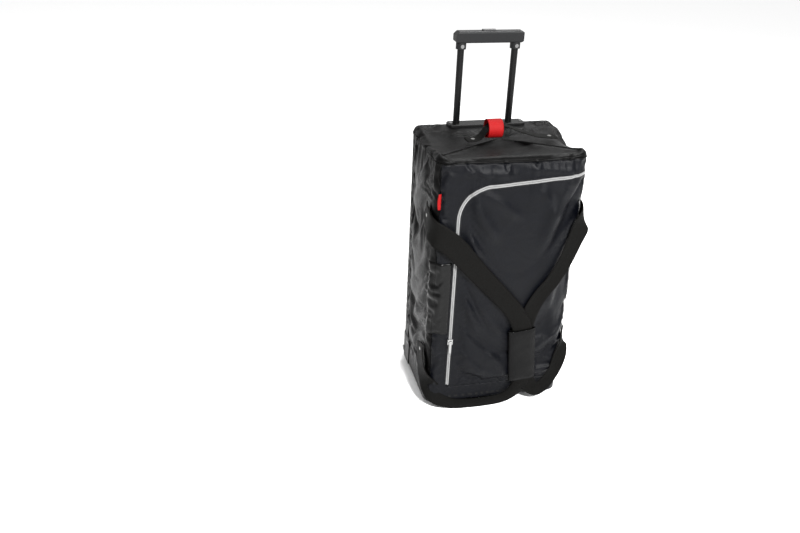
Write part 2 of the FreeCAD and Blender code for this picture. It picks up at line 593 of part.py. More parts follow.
def web_run(name, start, end, layer):
    """A flat run of webbing, square at both ends, in a plane in front of the flap."""
    run = (value(f"({end[0]}) - ({start[0]})"), value(f"({end[1]}) - ({start[1]})"))
    length = (run[0] ** 2 + run[1] ** 2) ** 0.5
    thing = doc.addObject("Part::Box", name)
    thing.Length = length
    bind(thing, Width="web_thick", Height="web_wide")
    along = FreeCAD.Vector(run[0], 0, run[1]).normalize()
    turn = FreeCAD.Rotation(X, along)
    down = turn.multVec(FreeCAD.Vector(0, 0, -value("web_wide / 2")))
    thing.Placement = FreeCAD.Placement(FreeCAD.Vector(), turn)
    return move(thing, f"{start[0]} + {down.x}", f"-({layer}) - web_thick / 2", f"{start[1]} + {down.z}")


def web_loop(name, points, layer, sign):
    """Runs of webbing with round turns between them, and a leg back along the bag's side at each end."""
    front = f"-({layer}) - web_thick / 2"
    parts = [web_run(f"{name}_run{i}", points[i], points[i + 1], layer) for i in range(len(points) - 1)]
    for i, point in enumerate(points):
        parts.append(rod(f"{name}_turn{i}", "web_wide / 2", "web_thick", (point[0], front, point[1]), "y"))
    near, outside = f"{sign} * ({web_side})", f"{sign} * ({web_side} + web_thick)"
    leg = (near, outside) if sign > 0 else (outside, near)
    for end, high, point in (("upper", "anchor_high", points[0]), ("lower", "anchor_low", points[-1])):
        band = (f"{high} - web_wide / 2", f"{high} + web_wide / 2")
        across = (point[0], outside) if sign > 0 else (outside, point[0])
        parts.append(box(f"{name}_corner_{end}", across, (front, f"{front} + web_thick"), band))
        parts.append(box(f"{name}_leg_{end}", leg, (front, "-anchor_deep + web_wide / 2"), band))
    return piece(join(name, *parts), name)


edge = "(bag_wide / 2 - strap_edge)"
web_loop("carry_strap_left", [
    (f"-{edge}", "anchor_high"), ("left_cross_x", "left_cross_z"), wrap_top, wrap_bottom,
    ("left_floor_x", "left_floor_z"), (f"-{edge} + turn_in_left", "anchor_low - turn_low_left"),
    (f"-{edge}", "anchor_low"),
], "left_layer", -1)
web_loop("carry_strap_right", [
    (edge, "anchor_high"), ("right_cross_x", "right_cross_z"), wrap_top, wrap_bottom,
    ("right_floor_x", "right_floor_z"), (f"{edge} + turn_in_right", "anchor_low - turn_low_right"),
    (edge, "anchor_low"),
], "right_layer", 1)

lean = FreeCAD.Vector(value("wrap_low_x - wrap_top_x"), 0, value("wrap_low_z - wrap_top_z"))
middle = "(left_layer + right_layer) / 2"
slot_deep = "right_layer - left_layer + web_thick + wrap_play"


def wrap_block(name, wide, deep, above, below):
    """A block around both straps, set in from the wrap's two points."""
    body = doc.addObject("PartDesign::Body", name)
    pad = body.newObject("PartDesign::Pad", f"{name}_pad")
    points = rectangle((f"-({wide}) / 2", f"({wide}) / 2"), (f"-({deep}) / 2", f"({deep}) / 2"))
    pad.Profile = outline(body, f"{name}_outline", "XY_Plane", points, above)
    bind(pad, Length=f"{lean.Length} - ({above}) - ({below})")
    body.Tip = pad
    body.Placement = FreeCAD.Placement(FreeCAD.Vector(),
                                       FreeCAD.Rotation(Z, FreeCAD.Vector(lean).normalize()))
    return move(body, wrap_top[0], f"-({middle})", wrap_top[1])


wrap_pad = wrap_block("wrap_pad", "wrap_wide", "wrap_deep", "wrap_above", "wrap_below")
soften(wrap_pad, "wrap_round", lambda b: b.ZLength > 100 and b.YLength < 1)
wrap_slot = wrap_block("wrap_slot", "web_wide + 2 * wrap_play", slot_deep, "-slot_over", "-slot_over")
piece(cut("wrap_grip", wrap_pad, wrap_slot), "wrap_grip")

rivets = []
for side, sign in NAMED_SIDES.items():
    outside = f"{sign} * ({web_side} + web_thick)"
    for end, high in (("upper", "anchor_high"), ("lower", "anchor_low")):
        head = rod(f"rivet_head_{end}_{side}", "rivet_round", "rivet_tall",
                   (outside if sign > 0 else f"{outside} - rivet_tall", "-anchor_deep + rivet_in",
                   high), "x")
        rivets.append(head)
piece(group("strap_rivets", rivets), "strap_rivets")

# ---- grab handle on top: webbing that rises into a cuff ----
grab_low = "bag_tall + grab_off"
grab_high = "bag_tall + grab_rise"
grab_line = [
    ("grab_shift - grab_span / 2 - grab_end", grab_low),
    ("grab_shift - grab_span / 2 + grab_flat", grab_low),
    ("grab_shift - grab_peak_left", grab_high), ("grab_shift - grab_peak_right", grab_high),
    ("grab_shift + grab_span / 2 - grab_flat", grab_low),
    ("grab_shift + grab_span / 2 + grab_end", grab_low),
]
grab_back = [(x, f"{z} + grab_thick") for x, z in reversed(grab_line)]
grab_strap = plate("grab_webbing", "XZ_Plane", grab_line + grab_back, "grab_deep - grab_wide / 2",
                   "grab_wide")
piece(grab_strap, "grab_strap")

cuff_middle = "grab_shift - cuff_back"
cuff_across = (f"{cuff_middle} - cuff_long / 2", f"{cuff_middle} + cuff_long / 2")
cuff_deep = "grab_wide / 2 + cuff_side + cuff_thick"
cuff_top = f"{grab_high} + grab_thick + cuff_over + cuff_thick"
cuff_block = box("cuff_block", cuff_across, (f"grab_deep - ({cuff_deep})", f"grab_deep + {cuff_deep}"),
                 ("bag_tall + cuff_lift", cuff_top))
cuff_hollow = box("cuff_hollow", (f"{cuff_across[0]} - 1", f"{cuff_across[1]} + 1"),
                  (f"grab_deep - ({cuff_deep}) + cuff_thick", f"grab_deep + {cuff_deep} - cuff_thick"),
                  ("bag_tall", f"{cuff_top} - cuff_thick"))
piece(cut("grab_cuff", cuff_block, cuff_hollow), "grab_cuff")
grab_rivets = [
    rod(f"grab_rivet_{side}", "rivet_round", "rivet_tall",
        (f"grab_shift + {sign} * grab_span / 2", "grab_deep", f"{grab_low} + grab_thick"))
    for side, sign in NAMED_SIDES.items()
]
piece(group("grab_rivets", grab_rivets), "grab_rivets")

# ---- trim: piping on the rear seams, a patch and a tag beside the flap ----
piping = [
    rod(f"piping_{side}", "piping_round", "seam_top - house_top",
        (f"{sign} * (bag_wide / 2 + piping_round)", "seam_back", "house_top"))
    for side, sign in NAMED_SIDES.items()
]
piece(group("rear_piping", piping), "rear_piping")
patch_skin = cut("patch_skin", rounded_form("patch_form", "patch_thick", "patch_low", "patch_high",
                                            None), outer)
patch_region = box("patch_region", ("-bag_wide", f"-flap_left - ({slider_half}) - patch_gap"),
                   ("-bag_deep", "-seam_front - 2"),
                   ("patch_low", "patch_high"))
piece(overlap("front_patch", patch_skin, patch_region), "front_patch")
tag_face = "seam_front + front_round * 0.8"
tag_blank = box("tag_blank", ("-bag_wide / 2 - 2", "-bag_wide / 2 - 2 + tag_out"),
                (f"-({tag_face}) - tag_thick", f"-({tag_face})"),
                ("tag_low", "tag_high"))
piece(cut("seam_tag", tag_blank, outer), "seam_tag")

# ---- build, check and write ----
doc.recompute()
for thing in doc.Objects:
    if {"Invalid", "Error"} & set(thing.State):
        raise RuntimeError(f"{thing.Label} did not build: {thing.State}")
os.makedirs("parts", exist_ok=True)
for thing in pieces:
    if thing.Shape.isNull() or not thing.Shape.isValid() or not thing.Shape.Solids:
        raise RuntimeError(f"{thing.Label} has no valid solid")
for thing in pieces:
    thing.Shape.exportStep(f"parts/{thing.Label}.step")
    print(thing.Label, len(thing.Shape.Solids), round(thing.Shape.Volume / 1000, 2), "cm3")
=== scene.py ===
import math
import random

import bpy
import numpy as np
from mathutils import Matrix, Vector, noise
from mathutils.geometry import delaunay_2d_cdt


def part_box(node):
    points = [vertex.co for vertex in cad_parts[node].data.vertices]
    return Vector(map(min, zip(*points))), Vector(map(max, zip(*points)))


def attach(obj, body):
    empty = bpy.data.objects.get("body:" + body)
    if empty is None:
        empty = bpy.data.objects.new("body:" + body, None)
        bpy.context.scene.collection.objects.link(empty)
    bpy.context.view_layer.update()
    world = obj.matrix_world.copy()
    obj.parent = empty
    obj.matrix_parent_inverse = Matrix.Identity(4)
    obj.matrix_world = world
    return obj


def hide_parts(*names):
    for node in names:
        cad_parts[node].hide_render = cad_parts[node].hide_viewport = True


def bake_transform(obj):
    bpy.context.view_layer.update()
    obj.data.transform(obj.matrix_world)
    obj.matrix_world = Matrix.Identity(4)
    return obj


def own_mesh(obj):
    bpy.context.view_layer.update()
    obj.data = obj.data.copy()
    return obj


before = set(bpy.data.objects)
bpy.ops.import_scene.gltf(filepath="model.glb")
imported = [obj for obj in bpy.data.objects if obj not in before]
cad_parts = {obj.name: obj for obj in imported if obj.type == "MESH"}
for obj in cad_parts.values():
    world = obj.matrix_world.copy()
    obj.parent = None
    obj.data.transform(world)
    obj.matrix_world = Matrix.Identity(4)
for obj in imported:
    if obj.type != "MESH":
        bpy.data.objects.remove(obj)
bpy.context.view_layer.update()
random.seed(11)
print("frame loaded")

# the bag's plan and profile, taken from the frame, in metres
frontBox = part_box("front_frame")
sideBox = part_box("side_panel_right")
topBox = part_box("top_panel")
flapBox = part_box("flap")
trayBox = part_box("base_tray")
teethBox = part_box("zip_teeth_frame")

skin = {
    "halfWide": frontBox[1].x,
    "halfDeep": -frontBox[0].y,
    "frontRound": -frontBox[0].y + sideBox[0].y,
    "backRound": 0.018,
    "seamTop": sideBox[1].z,
    "topRound": topBox[1].z - sideBox[1].z,
    "low": trayBox[0].z + 0.002,
    "cell": 0.007,  # spacing of the draped net
    "panelCell": 0.0045,  # spacing of the sewn panels
    "cloth": 0.0018,  # thickness of the fabric
}
frontStraight = skin["halfWide"] - skin["frontRound"]
frontArc = skin["frontRound"] * math.pi / 2
sideStraight = 2 * skin["halfDeep"] - skin["frontRound"] - skin["backRound"]
backArc = skin["backRound"] * math.pi / 2
backStraight = skin["halfWide"] - skin["backRound"]
halfRound = frontStraight + frontArc + sideStraight + backArc + backStraight
seamFront = frontStraight + frontArc
seamBack = seamFront + sideBox[1].y - sideBox[0].y
seamLeft = -seamFront + 0.5 * frontArc  # the left seam runs down the middle of its corner
shoulder = skin["seamTop"] + skin["topRound"] * math.pi / 2
topReach = skin["halfDeep"] - skin["topRound"]
skinTop = shoulder + topReach


def ringPoint(along, inset):
    side = 1 if along >= 0 else -1
    a = abs(along)
    if a < frontStraight:
        x, y, nx, ny = a, -skin["halfDeep"], 0.0, -1.0
    elif a < seamFront:
        turn = (a - frontStraight) / skin["frontRound"]
        nx, ny = math.sin(turn), -math.cos(turn)
        x = frontStraight + skin["frontRound"] * nx
        y = -skin["halfDeep"] + skin["frontRound"] * (1 + ny)
    elif a < seamFront + sideStraight:
        x, y, nx, ny = skin["halfWide"], sideBox[0].y + a - seamFront, 1.0, 0.0
    elif a < seamFront + sideStraight + backArc:
        turn = (a - seamFront - sideStraight) / skin["backRound"]
        nx, ny = math.cos(turn), math.sin(turn)
        x = backStraight + skin["backRound"] * nx
        y = skin["halfDeep"] - skin["backRound"] * (1 - ny)
    else:
        x, y, nx, ny = max(0.0, halfRound - a), skin["halfDeep"], 0.0, 1.0
    return Vector((side * (x - nx * inset), y - ny * inset, 0)), Vector((side * nx, ny, 0))


def plainSkin(along, up):
    # the untouched form: walls, a rounded shoulder, then the top drawn in towards its middle
    if up <= skin["seamTop"]:
        point, out = ringPoint(along, 0.0)
        point.z = up
        return point, out
    if up <= shoulder:
        turn = (up - skin["seamTop"]) / skin["topRound"]
        point, out = ringPoint(along, skin["topRound"] * (1 - math.cos(turn)))
        point.z = skin["seamTop"] + skin["topRound"] * math.sin(turn)
        return point, out * math.cos(turn) + Vector((0, 0, math.sin(turn)))
    point, out = ringPoint(along, skin["topRound"])
    point *= max(0.0, 1 - (up - shoulder) / topReach)
    point.z = skin["seamTop"] + skin["topRound"]
    return point, Vector((0, 0, 1))


def smooth(value, start, end):
    t = min(1.0, max(0.0, (value - start) / (end - start)))
    return t * t * (3 - 2 * t)


def sheetFaces(rows, cols):
    # quads of an open sheet
    starts = [i * (cols + 1) + j for i in range(rows) for j in range(cols)]
    return [(a, a + 1, a + cols + 2, a + cols + 1) for a in starts]


def tubeFaces(rings, size):
    # quads between closed rings of points
    pairs = [(i * size + k, i * size + (k + 1) % size) for i in range(rings - 1) for k in range(size)]
    return [(a, b, b + size, a + size) for a, b in pairs]


def tipFaces(rings, size):
    # triangles from the last ring to the single point after it
    last = (rings - 1) * size
    return [(last + k, last + (k + 1) % size, rings * size) for k in range(size)]


def rodFaces(rings, size):
    # a closed tube: its sides, then its two ends
    ends = [tuple(reversed(range(size))), tuple(range((rings - 1) * size, rings * size))]
    return tubeFaces(rings, size) + ends


# calm places, where the fabric is held flat by something hard: (point, full radius, free radius)
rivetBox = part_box("strap_rivets")
calm = {
    "rivetHeights": (0.15, 0.508),
    "rivetIn": 0.0045,  # from the rivets' rear edge to their middle
    "zipTop": 0.62,
    "wallBack": 0.1,  # behind this the fabric lies on the back board
}
calmSpots = [
    (Vector((side * skin["halfWide"], rivetBox[1].y - calm["rivetIn"], high)), 0.016, 0.06)
    for side in (-1, 1)
    for high in calm["rivetHeights"]
]
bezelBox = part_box("handle_bezel")


def stiffness(point, along, up):
    # 0 where the fabric can't move, 1 where it is free
    free = 1.0
    for spot, near, far in calmSpots:
        free = min(free, smooth((point - spot).length, near, far))
    if point.z < calm["zipTop"]:
        zipAway = abs(along - teethBox[0].x - 0.004)
        free = min(free, 0.12 + 0.88 * smooth(zipAway, 0.008, 0.04))
    if up > skin["seamTop"]:
        away = max(abs(point.x) - bezelBox[1].x, bezelBox[0].y - point.y)
        free = min(free, smooth(away, 0.002, 0.035))
    if point.y > 0.056 and abs(point.x) > 0.12:
        free = min(free, smooth(point.z, 0.1, 0.16))
    free = min(free, 0.1 + 0.9 * smooth(point.z, 0.03, 0.1))
    if point.y > calm["wallBack"]:
        free = min(free, 0.35)
    return free


netCols = int(round(2 * halfRound / skin["cell"]))
netRows = int(round((skinTop - skin["low"]) / skin["cell"]))
stepAlong = 2 * halfRound / netCols
stepUp = (skinTop - skin["low"]) / netRows


def netPlain():
    points = np.zeros((netRows, netCols, 3))
    outs = np.zeros((netRows, netCols, 3))
    free = np.zeros((netRows, netCols))
    for i in range(netRows):
        for j in range(netCols):
            along = -halfRound + j * stepAlong
            up = skin["low"] + i * stepUp
            point, out = plainSkin(along, up)
            points[i, j], outs[i, j] = point, out
            free[i, j] = stiffness(point, along, up)
    return points, outs, free


drape = {
    "frames": 26,
    "grow": -0.045,
    "pressure": 1.6,
    "stiff": 12,
    "shear": 4,
    "bend": 0.35,
    "mass": 0.25,
    "gravity": 0.35,
    "cap": 0.0085,
    "rough": 0.0022,
}


def drapeNet(points, outs, free):
    # grown a little and blown out between its held lines, so that it buckles as slack nylon does
    start = points.copy()
    for i in range(netRows):
        for j in range(netCols):
            bump = noise.noise(Vector(points[i, j]) * 18.0) * drape["rough"]
            start[i, j] += outs[i, j] * bump * free[i, j]
    mesh = bpy.data.meshes.new("skinNet")
    verts = [tuple(p) for row in start for p in row]
    tip = len(verts)
    verts.append((0.0, 0.0, float(points[-1, :, 2].mean())))
    mesh.from_pydata(verts, [], tubeFaces(netRows, netCols) + tipFaces(netRows, netCols))
    net = bpy.data.objects.new("skinNet", mesh)
    bpy.context.scene.collection.objects.link(net)
    held = net.vertex_groups.new(name="held")
    for i in range(netRows):
        up = skin["low"] + i * stepUp
        for j in range(netCols):
            along = -halfRound + j * stepAlong
            hold = 1 - free[i, j]
            hold = max(hold, 0.75 * (1 - smooth(abs(up - skin["seamTop"]), 0.0, 0.006)))
            for seam in (seamFront, seamBack):
                hold = max(hold, 0.6 * (1 - smooth(abs(abs(along) - seam), 0.0, 0.006)))
            if points[i, j, 1] > calm["wallBack"]:
                hold = max(hold, 0.8)
            if hold > 0.05:
                held.add([i * netCols + j], min(1.0, hold), "REPLACE")
    cloth = net.modifiers.new("drape", "CLOTH")
    cloth.settings.quality = 5
    cloth.settings.mass = drape["mass"]
    cloth.settings.tension_stiffness = drape["stiff"]
    cloth.settings.compression_stiffness = drape["stiff"]
    cloth.settings.shear_stiffness = drape["shear"]
    cloth.settings.bending_stiffness = drape["bend"]
    cloth.settings.shrink_min = drape["grow"]
    cloth.settings.use_pressure = True
    cloth.settings.uniform_pressure_force = drape["pressure"]
    cloth.settings.vertex_group_mass = "held"
    cloth.settings.effector_weights.gravity = drape["gravity"]
    cloth.collision_settings.use_collision = False
    cloth.point_cache.frame_end = drape["frames"]
    for step in range(1, drape["frames"] + 1):
        bpy.context.scene.frame_set(step)
    done = net.evaluated_get(bpy.context.evaluated_depsgraph_get()).data
    flat = np.empty(len(done.vertices) * 3)
    done.vertices.foreach_get("co", flat)
    result = flat.reshape(-1, 3)[:tip].reshape(netRows, netCols, 3)
    bpy.context.scene.frame_set(1)
    bpy.data.objects.remove(net)
    return result


# long folds laid over the drape: ((along, up) start, end, half width, height)
folds = [
    ((-0.215, 0.640), (-0.300, 0.560), 0.010, 0.0050),
    ((-0.210, 0.600), (-0.335, 0.500), 0.012, 0.0045),
    ((-0.240, 0.470), (-0.330, 0.380), 0.014, 0.0050),
    ((-0.225, 0.380), (-0.335, 0.260), 0.014, 0.0050),
    ((-0.230, 0.290), (-0.320, 0.180), 0.012, 0.0040),
    ((-0.205, 0.215), (-0.260, 0.120), 0.010, 0.0035),
    # across the front: off the flap's round corner, under the straps and up from the base
    ((-0.095, 0.560), (-0.030, 0.470), 0.013, 0.0068),
    ((-0.060, 0.575), (0.020, 0.520), 0.011, 0.0058),
    ((-0.108, 0.500), (-0.070, 0.420), 0.012, 0.0061),
    ((0.060, 0.590), (0.110, 0.500), 0.014, 0.0068),
    ((0.120, 0.600), (0.085, 0.440), 0.016, 0.0075),
    ((-0.100, 0.330), (-0.060, 0.210), 0.016, 0.0068),
    ((-0.060, 0.300), (0.010, 0.200), 0.014, 0.0061),
    ((-0.100, 0.180), (-0.030, 0.090), 0.014, 0.0068),
    ((-0.020, 0.160), (0.030, 0.080), 0.012, 0.0058),
    ((0.120, 0.330), (0.150, 0.180), 0.014, 0.0068),
    ((-0.130, 0.625), (0.000, 0.618), 0.009, 0.0054),
    ((0.020, 0.632), (0.150, 0.618), 0.009, 0.0051),
]


def foldHeight(along, up):
    total = 0.0
    for (a0, u0), (a1, u1), wide, high in folds:
        da, du = a1 - a0, u1 - u0
        size = da * da + du * du
        t = ((along - a0) * da + (up - u0) * du) / size
        if -0.2 < t < 1.2:
            away = math.hypot(along - a0 - t * da, up - u0 - t * du)
            if away < 3 * wide:
                ends = smooth(t, -0.2, 0.25), 1 - smooth(t, 0.75, 1.2)
                total += high * math.exp(-((away / wide) ** 2)) * ends[0] * ends[1]
    return total


def shapeNet():
    points, outs, free = netPlain()
    moved = drapeNet(points, outs, free) - points
    print("drape reach", float(np.abs(moved).max()))
    size = np.linalg.norm(moved, axis=2, keepdims=True)
    moved *= drape["cap"] * np.tanh(size / drape["cap"]) / np.maximum(size, 1e-9)
    moved *= free[:, :, None]
    for i in range(netRows):
        up = skin["low"] + i * stepUp
        for j in range(netCols):
            extra = foldHeight(-halfRound + j * stepAlong, up)
            moved[i, j] += outs[i, j] * extra * free[i, j]
    return points + moved


netPoints = shapeNet()
acrossRow = np.roll(netPoints, -1, axis=1) - np.roll(netPoints, 1, axis=1)
upCol = np.gradient(netPoints, axis=0)
netOut = np.cross(acrossRow, upCol)
netOut /= np.maximum(np.linalg.norm(netOut, axis=2, keepdims=True), 1e-12)
print("skin draped", netRows, netCols)


def cubicWeights(t):
    return (
        -0.5 * t + t * t - 0.5 * t**3,
        1 - 2.5 * t * t + 1.5 * t**3,
        0.5 * t + 2 * t * t - 1.5 * t**3,
        -0.5 * t * t + 0.5 * t**3,
    )


def onSkin(along, up, lift=0.0):
    # a point on the draped skin, lifted off it along its own outward direction
    col = (along + halfRound) / stepAlong
    row = min(netRows - 1.0, max(0.0, (up - skin["low"]) / stepUp))
    j, i = int(math.floor(col)), min(netRows - 2, int(row))
    colWeights, rowWeights = cubicWeights(col - j), cubicWeights(row - i)
    point, out = np.zeros(3), np.zeros(3)
    for a in range(4):
        r = min(netRows - 1, max(0, i - 1 + a))
        for b in range(4):
            weight = rowWeights[a] * colWeights[b]
            c = (j - 1 + b) % netCols
            point += netPoints[r, c] * weight
            out += netOut[r, c] * weight
    out /= np.linalg.norm(out)
    return Vector(point + out * lift), Vector(out)


sag = {
    "deep": 0.015,
    "lean": 0.25,  # share of the slump that goes inwards
    "fromFront": (-0.118, -0.015, 0.074),
    "across": (0.132, 0.172),
    "high": (0.560, 0.640),
    "top": 0.69,
}


def sagged(point):
    # the top edge slumps between its two corners on the side with nothing behind it
    x, y, z = point
    front, middle, back = sag["fromFront"]
    if x < sag["across"][0] or z < sag["high"][0] or z > sag["top"] or not front < y < back:
        return (x, y, z)
    share = smooth(y, front, middle) if y < middle else 1 - smooth(y, middle, back)
    rise = smooth(z, *sag["high"])
    inward = sag["lean"] * sag["deep"] * share * rise
    return (x - inward, y, z - sag["deep"] * share * smooth(x, *sag["across"]) * rise)


def makePiece(name, verts, faces, finish, body, threads=None, slot=None, stands=(), shade=True):
    mesh = bpy.data.meshes.new(name)
    mesh.from_pydata([sagged(v) for v in verts], [], faces)
    mesh.validate()
    mesh.polygons.foreach_set("use_smooth", [shade] * len(mesh.polygons))
    if threads is not None:
        layer = mesh.attributes.new("thread", "FLOAT_VECTOR", "POINT")
        layer.data.foreach_set("vector", np.array(threads, dtype=np.float32).ravel())
    mesh.materials.append(finish)
    piece = bpy.data.objects.new(name, mesh)
    bpy.context.scene.collection.objects.link(piece)
    if body:
        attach(piece, body)
    if stands:
        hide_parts(*stands)
    return piece


# finishes
def nodeGroup(name, inputs, outputs):
    group = bpy.data.node_groups.new(name, "ShaderNodeTree")
    for label, kind, value in inputs:
        socket = group.interface.new_socket(label, in_out="INPUT", socket_type=kind)
        if value is not None:
            socket.default_value = value
    for label, kind in outputs:
        group.interface.new_socket(label, in_out="OUTPUT", socket_type=kind)
    return group, group.nodes.new("NodeGroupInput"), group.nodes.new("NodeGroupOutput")


def addMath(tree, operation, first, second=None, clamp=False):
    node = tree.nodes.new("ShaderNodeMath")
    node.operation = operation
    node.use_clamp = clamp
    for socket, value in zip(node.inputs, (first, second)):
        if value is None:
            continue
        if isinstance(value, (int, float)):
            socket.default_value = value
        else:
            tree.links.new(value, socket)
    return node.outputs[0]


def addNoise(tree, vector, scale, detail=2.0, rough=0.5):
    node = tree.nodes.new("ShaderNodeTexNoise")
    node.inputs["Scale"].default_value = scale
    node.inputs["Detail"].default_value = detail
    node.inputs["Roughness"].default_value = rough
    tree.links.new(vector, node.inputs["Vector"])
    return node.outputs["Fac"]


def makeWeave():
    # threads crossing at right angles; Rib makes the ones along the piece stand higher
    group, given, out = nodeGroup(
        "clothWeave",
        [("Thread", "NodeSocketVector", None), ("Across", "NodeSocketFloat", 1000.0),
         ("Along", "NodeSocketFloat", 1000.0), ("Rib", "NodeSocketFloat", 0.5)],
        [("Height", "NodeSocketFloat"), ("Mottle", "NodeSocketFloat")],
    )
    tree = group
    split = tree.nodes.new("ShaderNodeSeparateXYZ")
    tree.links.new(given.outputs["Thread"], split.inputs[0])
    waves = []
    for axis, pitch in (("X", "Across"), ("Y", "Along")):
        turned = addMath(tree, "MULTIPLY", split.outputs[axis], given.outputs[pitch])
        waves.append(addMath(tree, "MULTIPLY", addMath(tree, "ADD", addMath(tree, "SINE", turned), 1.0),
            0.5))
    cross = addMath(tree, "MULTIPLY", waves[0], waves[1])
    ribs = addMath(tree, "MULTIPLY", waves[0], given.outputs["Rib"])
    tree.links.new(addMath(tree, "ADD", cross, ribs), out.inputs["Height"])
    tree.links.new(addNoise(tree, given.outputs["Thread"], 38.0, 3.0), out.inputs["Mottle"])
    return group


def makeRumple():
    # small soft creases between the modelled folds
    group, given, out = nodeGroup(
        "softRumple",
        [("Place", "NodeSocketVector", None), ("Size", "NodeSocketFloat", 30.0)],
        [("Height", "NodeSocketFloat"), ("Lint", "NodeSocketFloat")],
    )
    tree = group
    node = tree.nodes.new("ShaderNodeTexNoise")
    node.inputs["Detail"].default_value = 3.0
    node.inputs["Distortion"].default_value = 1.2
    tree.links.new(given.outputs["Place"], node.inputs["Vector"])
    tree.links.new(given.outputs["Size"], node.inputs["Scale"])
    ridge = addMath(tree, "ABSOLUTE", addMath(tree, "SUBTRACT", node.outputs["Fac"], 0.5))
    tree.links.new(addMath(tree, "SUBTRACT", 1.0, ridge), out.inputs["Height"])
    specks = addMath(tree, "GREATER_THAN", addNoise(tree, given.outputs["Place"], 900.0, 1.0), 0.74)
    tree.links.new(specks, out.inputs["Lint"])
    return group


def makeScuff():
    # fine moulded grain, with slow variation and faint rubbed marks
    group, given, out = nodeGroup(
        "hardScuff",
        [("Place", "NodeSocketVector", None), ("Grain", "NodeSocketFloat", 1400.0)],
        [("Height", "NodeSocketFloat"), ("Rubbed", "NodeSocketFloat"), ("Cloud", "NodeSocketFloat")],
    )
    tree = group
    grain = tree.nodes.new("ShaderNodeTexNoise")
    grain.inputs["Detail"].default_value = 2.0
    tree.links.new(given.outputs["Place"], grain.inputs["Vector"])
    tree.links.new(given.outputs["Grain"], grain.inputs["Scale"])
    tree.links.new(grain.outputs["Fac"], out.inputs["Height"])
    marks = addNoise(tree, given.outputs["Place"], 60.0, 6.0, 0.75)
    tree.links.new(addMath(tree, "MULTIPLY", addMath(tree, "SUBTRACT", marks, 0.6), 6.0, True),
        out.inputs["Rubbed"])
    tree.links.new(addNoise(tree, given.outputs["Place"], 12.0, 2.0), out.inputs["Cloud"])
    return group


weaveGroup, rumpleGroup, scuffGroup = makeWeave(), makeRumple(), makeScuff()


def weightedSum(tree, first, firstShare, second, secondShare):
    parts = [addMath(tree, "MULTIPLY", *pair) for pair in ((first, firstShare), (second, secondShare))]
    return addMath(tree, "ADD", *parts)


def newFinish(name):
    finish = bpy.data.materials.new(name)
    finish.use_nodes = True
    return finish, finish.node_tree, finish.node_tree.nodes["Principled BSDF"]


def placeGroup(tree, group, **links):
    node = tree.nodes.new("ShaderNodeGroup")
    node.node_tree = group
    for label, value in links.items():
        if isinstance(value, (int, float)):
            node.inputs[label].default_value = value
        else:
            tree.links.new(value, node.inputs[label])
    return node


def blendColour(tree, factor, first, second):
    node = tree.nodes.new("ShaderNodeMix")
    node.data_type = "RGBA"
    node.inputs["A"].default_value = (*first, 1)
    node.inputs["B"].default_value = (*second, 1)
    tree.links.new(factor, node.inputs["Factor"])
    return node.outputs["Result"]


def addBump(tree, height, distance, strength, normal=None):
    node = tree.nodes.new("ShaderNodeBump")
    node.inputs["Distance"].default_value = distance
    node.inputs["Strength"].default_value = strength
    tree.links.new(height, node.inputs["Height"])
    if normal is not None:
        tree.links.new(normal, node.inputs["Normal"])
    return node.outputs["Normal"]


def clothFinish(name, dark, light, across, along, rib, depth, rough, sheen=0.0, shine=0.2,
        crease=0.0006, creaseSize=26.0):
    finish, tree, shader = newFinish(name)
    thread = tree.nodes.new("ShaderNodeAttribute")
    thread.attribute_name = "thread"
    place = tree.nodes.new("ShaderNodeTexCoord")
    turns = 2 * math.pi
    weave = placeGroup(tree, weaveGroup, Thread=thread.outputs["Vector"], Across=turns / across,
        Along=turns / along, Rib=rib)
    rumple = placeGroup(tree, rumpleGroup, Place=place.outputs["Object"], Size=creaseSize)
    shade = weightedSum(tree, weave.outputs["Mottle"], 0.7, weave.outputs["Height"], 0.25)
    tree.links.new(blendColour(tree, shade, dark, light), shader.inputs["Base Color"])
    dull = addMath(tree, "ADD", rough - 0.08, addMath(tree, "MULTIPLY", weave.outputs["Mottle"], 0.16))
    tree.links.new(dull, shader.inputs["Roughness"])
    folded = addBump(tree, rumple.outputs["Height"], crease, 0.8)
    tree.links.new(addBump(tree, weave.outputs["Height"], depth, 0.6, folded), shader.inputs["Normal"])
    shader.inputs["Sheen Weight"].default_value = sheen
    shader.inputs["Sheen Roughness"].default_value = 0.45
    shader.inputs["Specular IOR Level"].default_value = shine
    return finish


def hardFinish(name, dark, light, metal, rough, grain=1400.0, depth=0.00004, shine=0.4, coat=0.0):
    finish, tree, shader = newFinish(name)
    place = tree.nodes.new("ShaderNodeTexCoord")
    scuff = placeGroup(tree, scuffGroup, Place=place.outputs["Object"], Grain=grain)
    shade = weightedSum(tree, scuff.outputs["Cloud"], 0.5, scuff.outputs["Rubbed"], 0.5)
    tree.links.new(blendColour(tree, shade, dark, light), shader.inputs["Base Color"])
    dull = addMath(tree, "ADD", rough, addMath(tree, "MULTIPLY", scuff.outputs["Rubbed"], 0.12))
    tree.links.new(dull, shader.inputs["Roughness"])
    tree.links.new(addBump(tree, scuff.outputs["Height"], depth, 0.5), shader.inputs["Normal"])
    shader.inputs["Metallic"].default_value = metal
    shader.inputs["Specular IOR Level"].default_value = shine
    shader.inputs["Coat Weight"].default_value = coat
    return finish


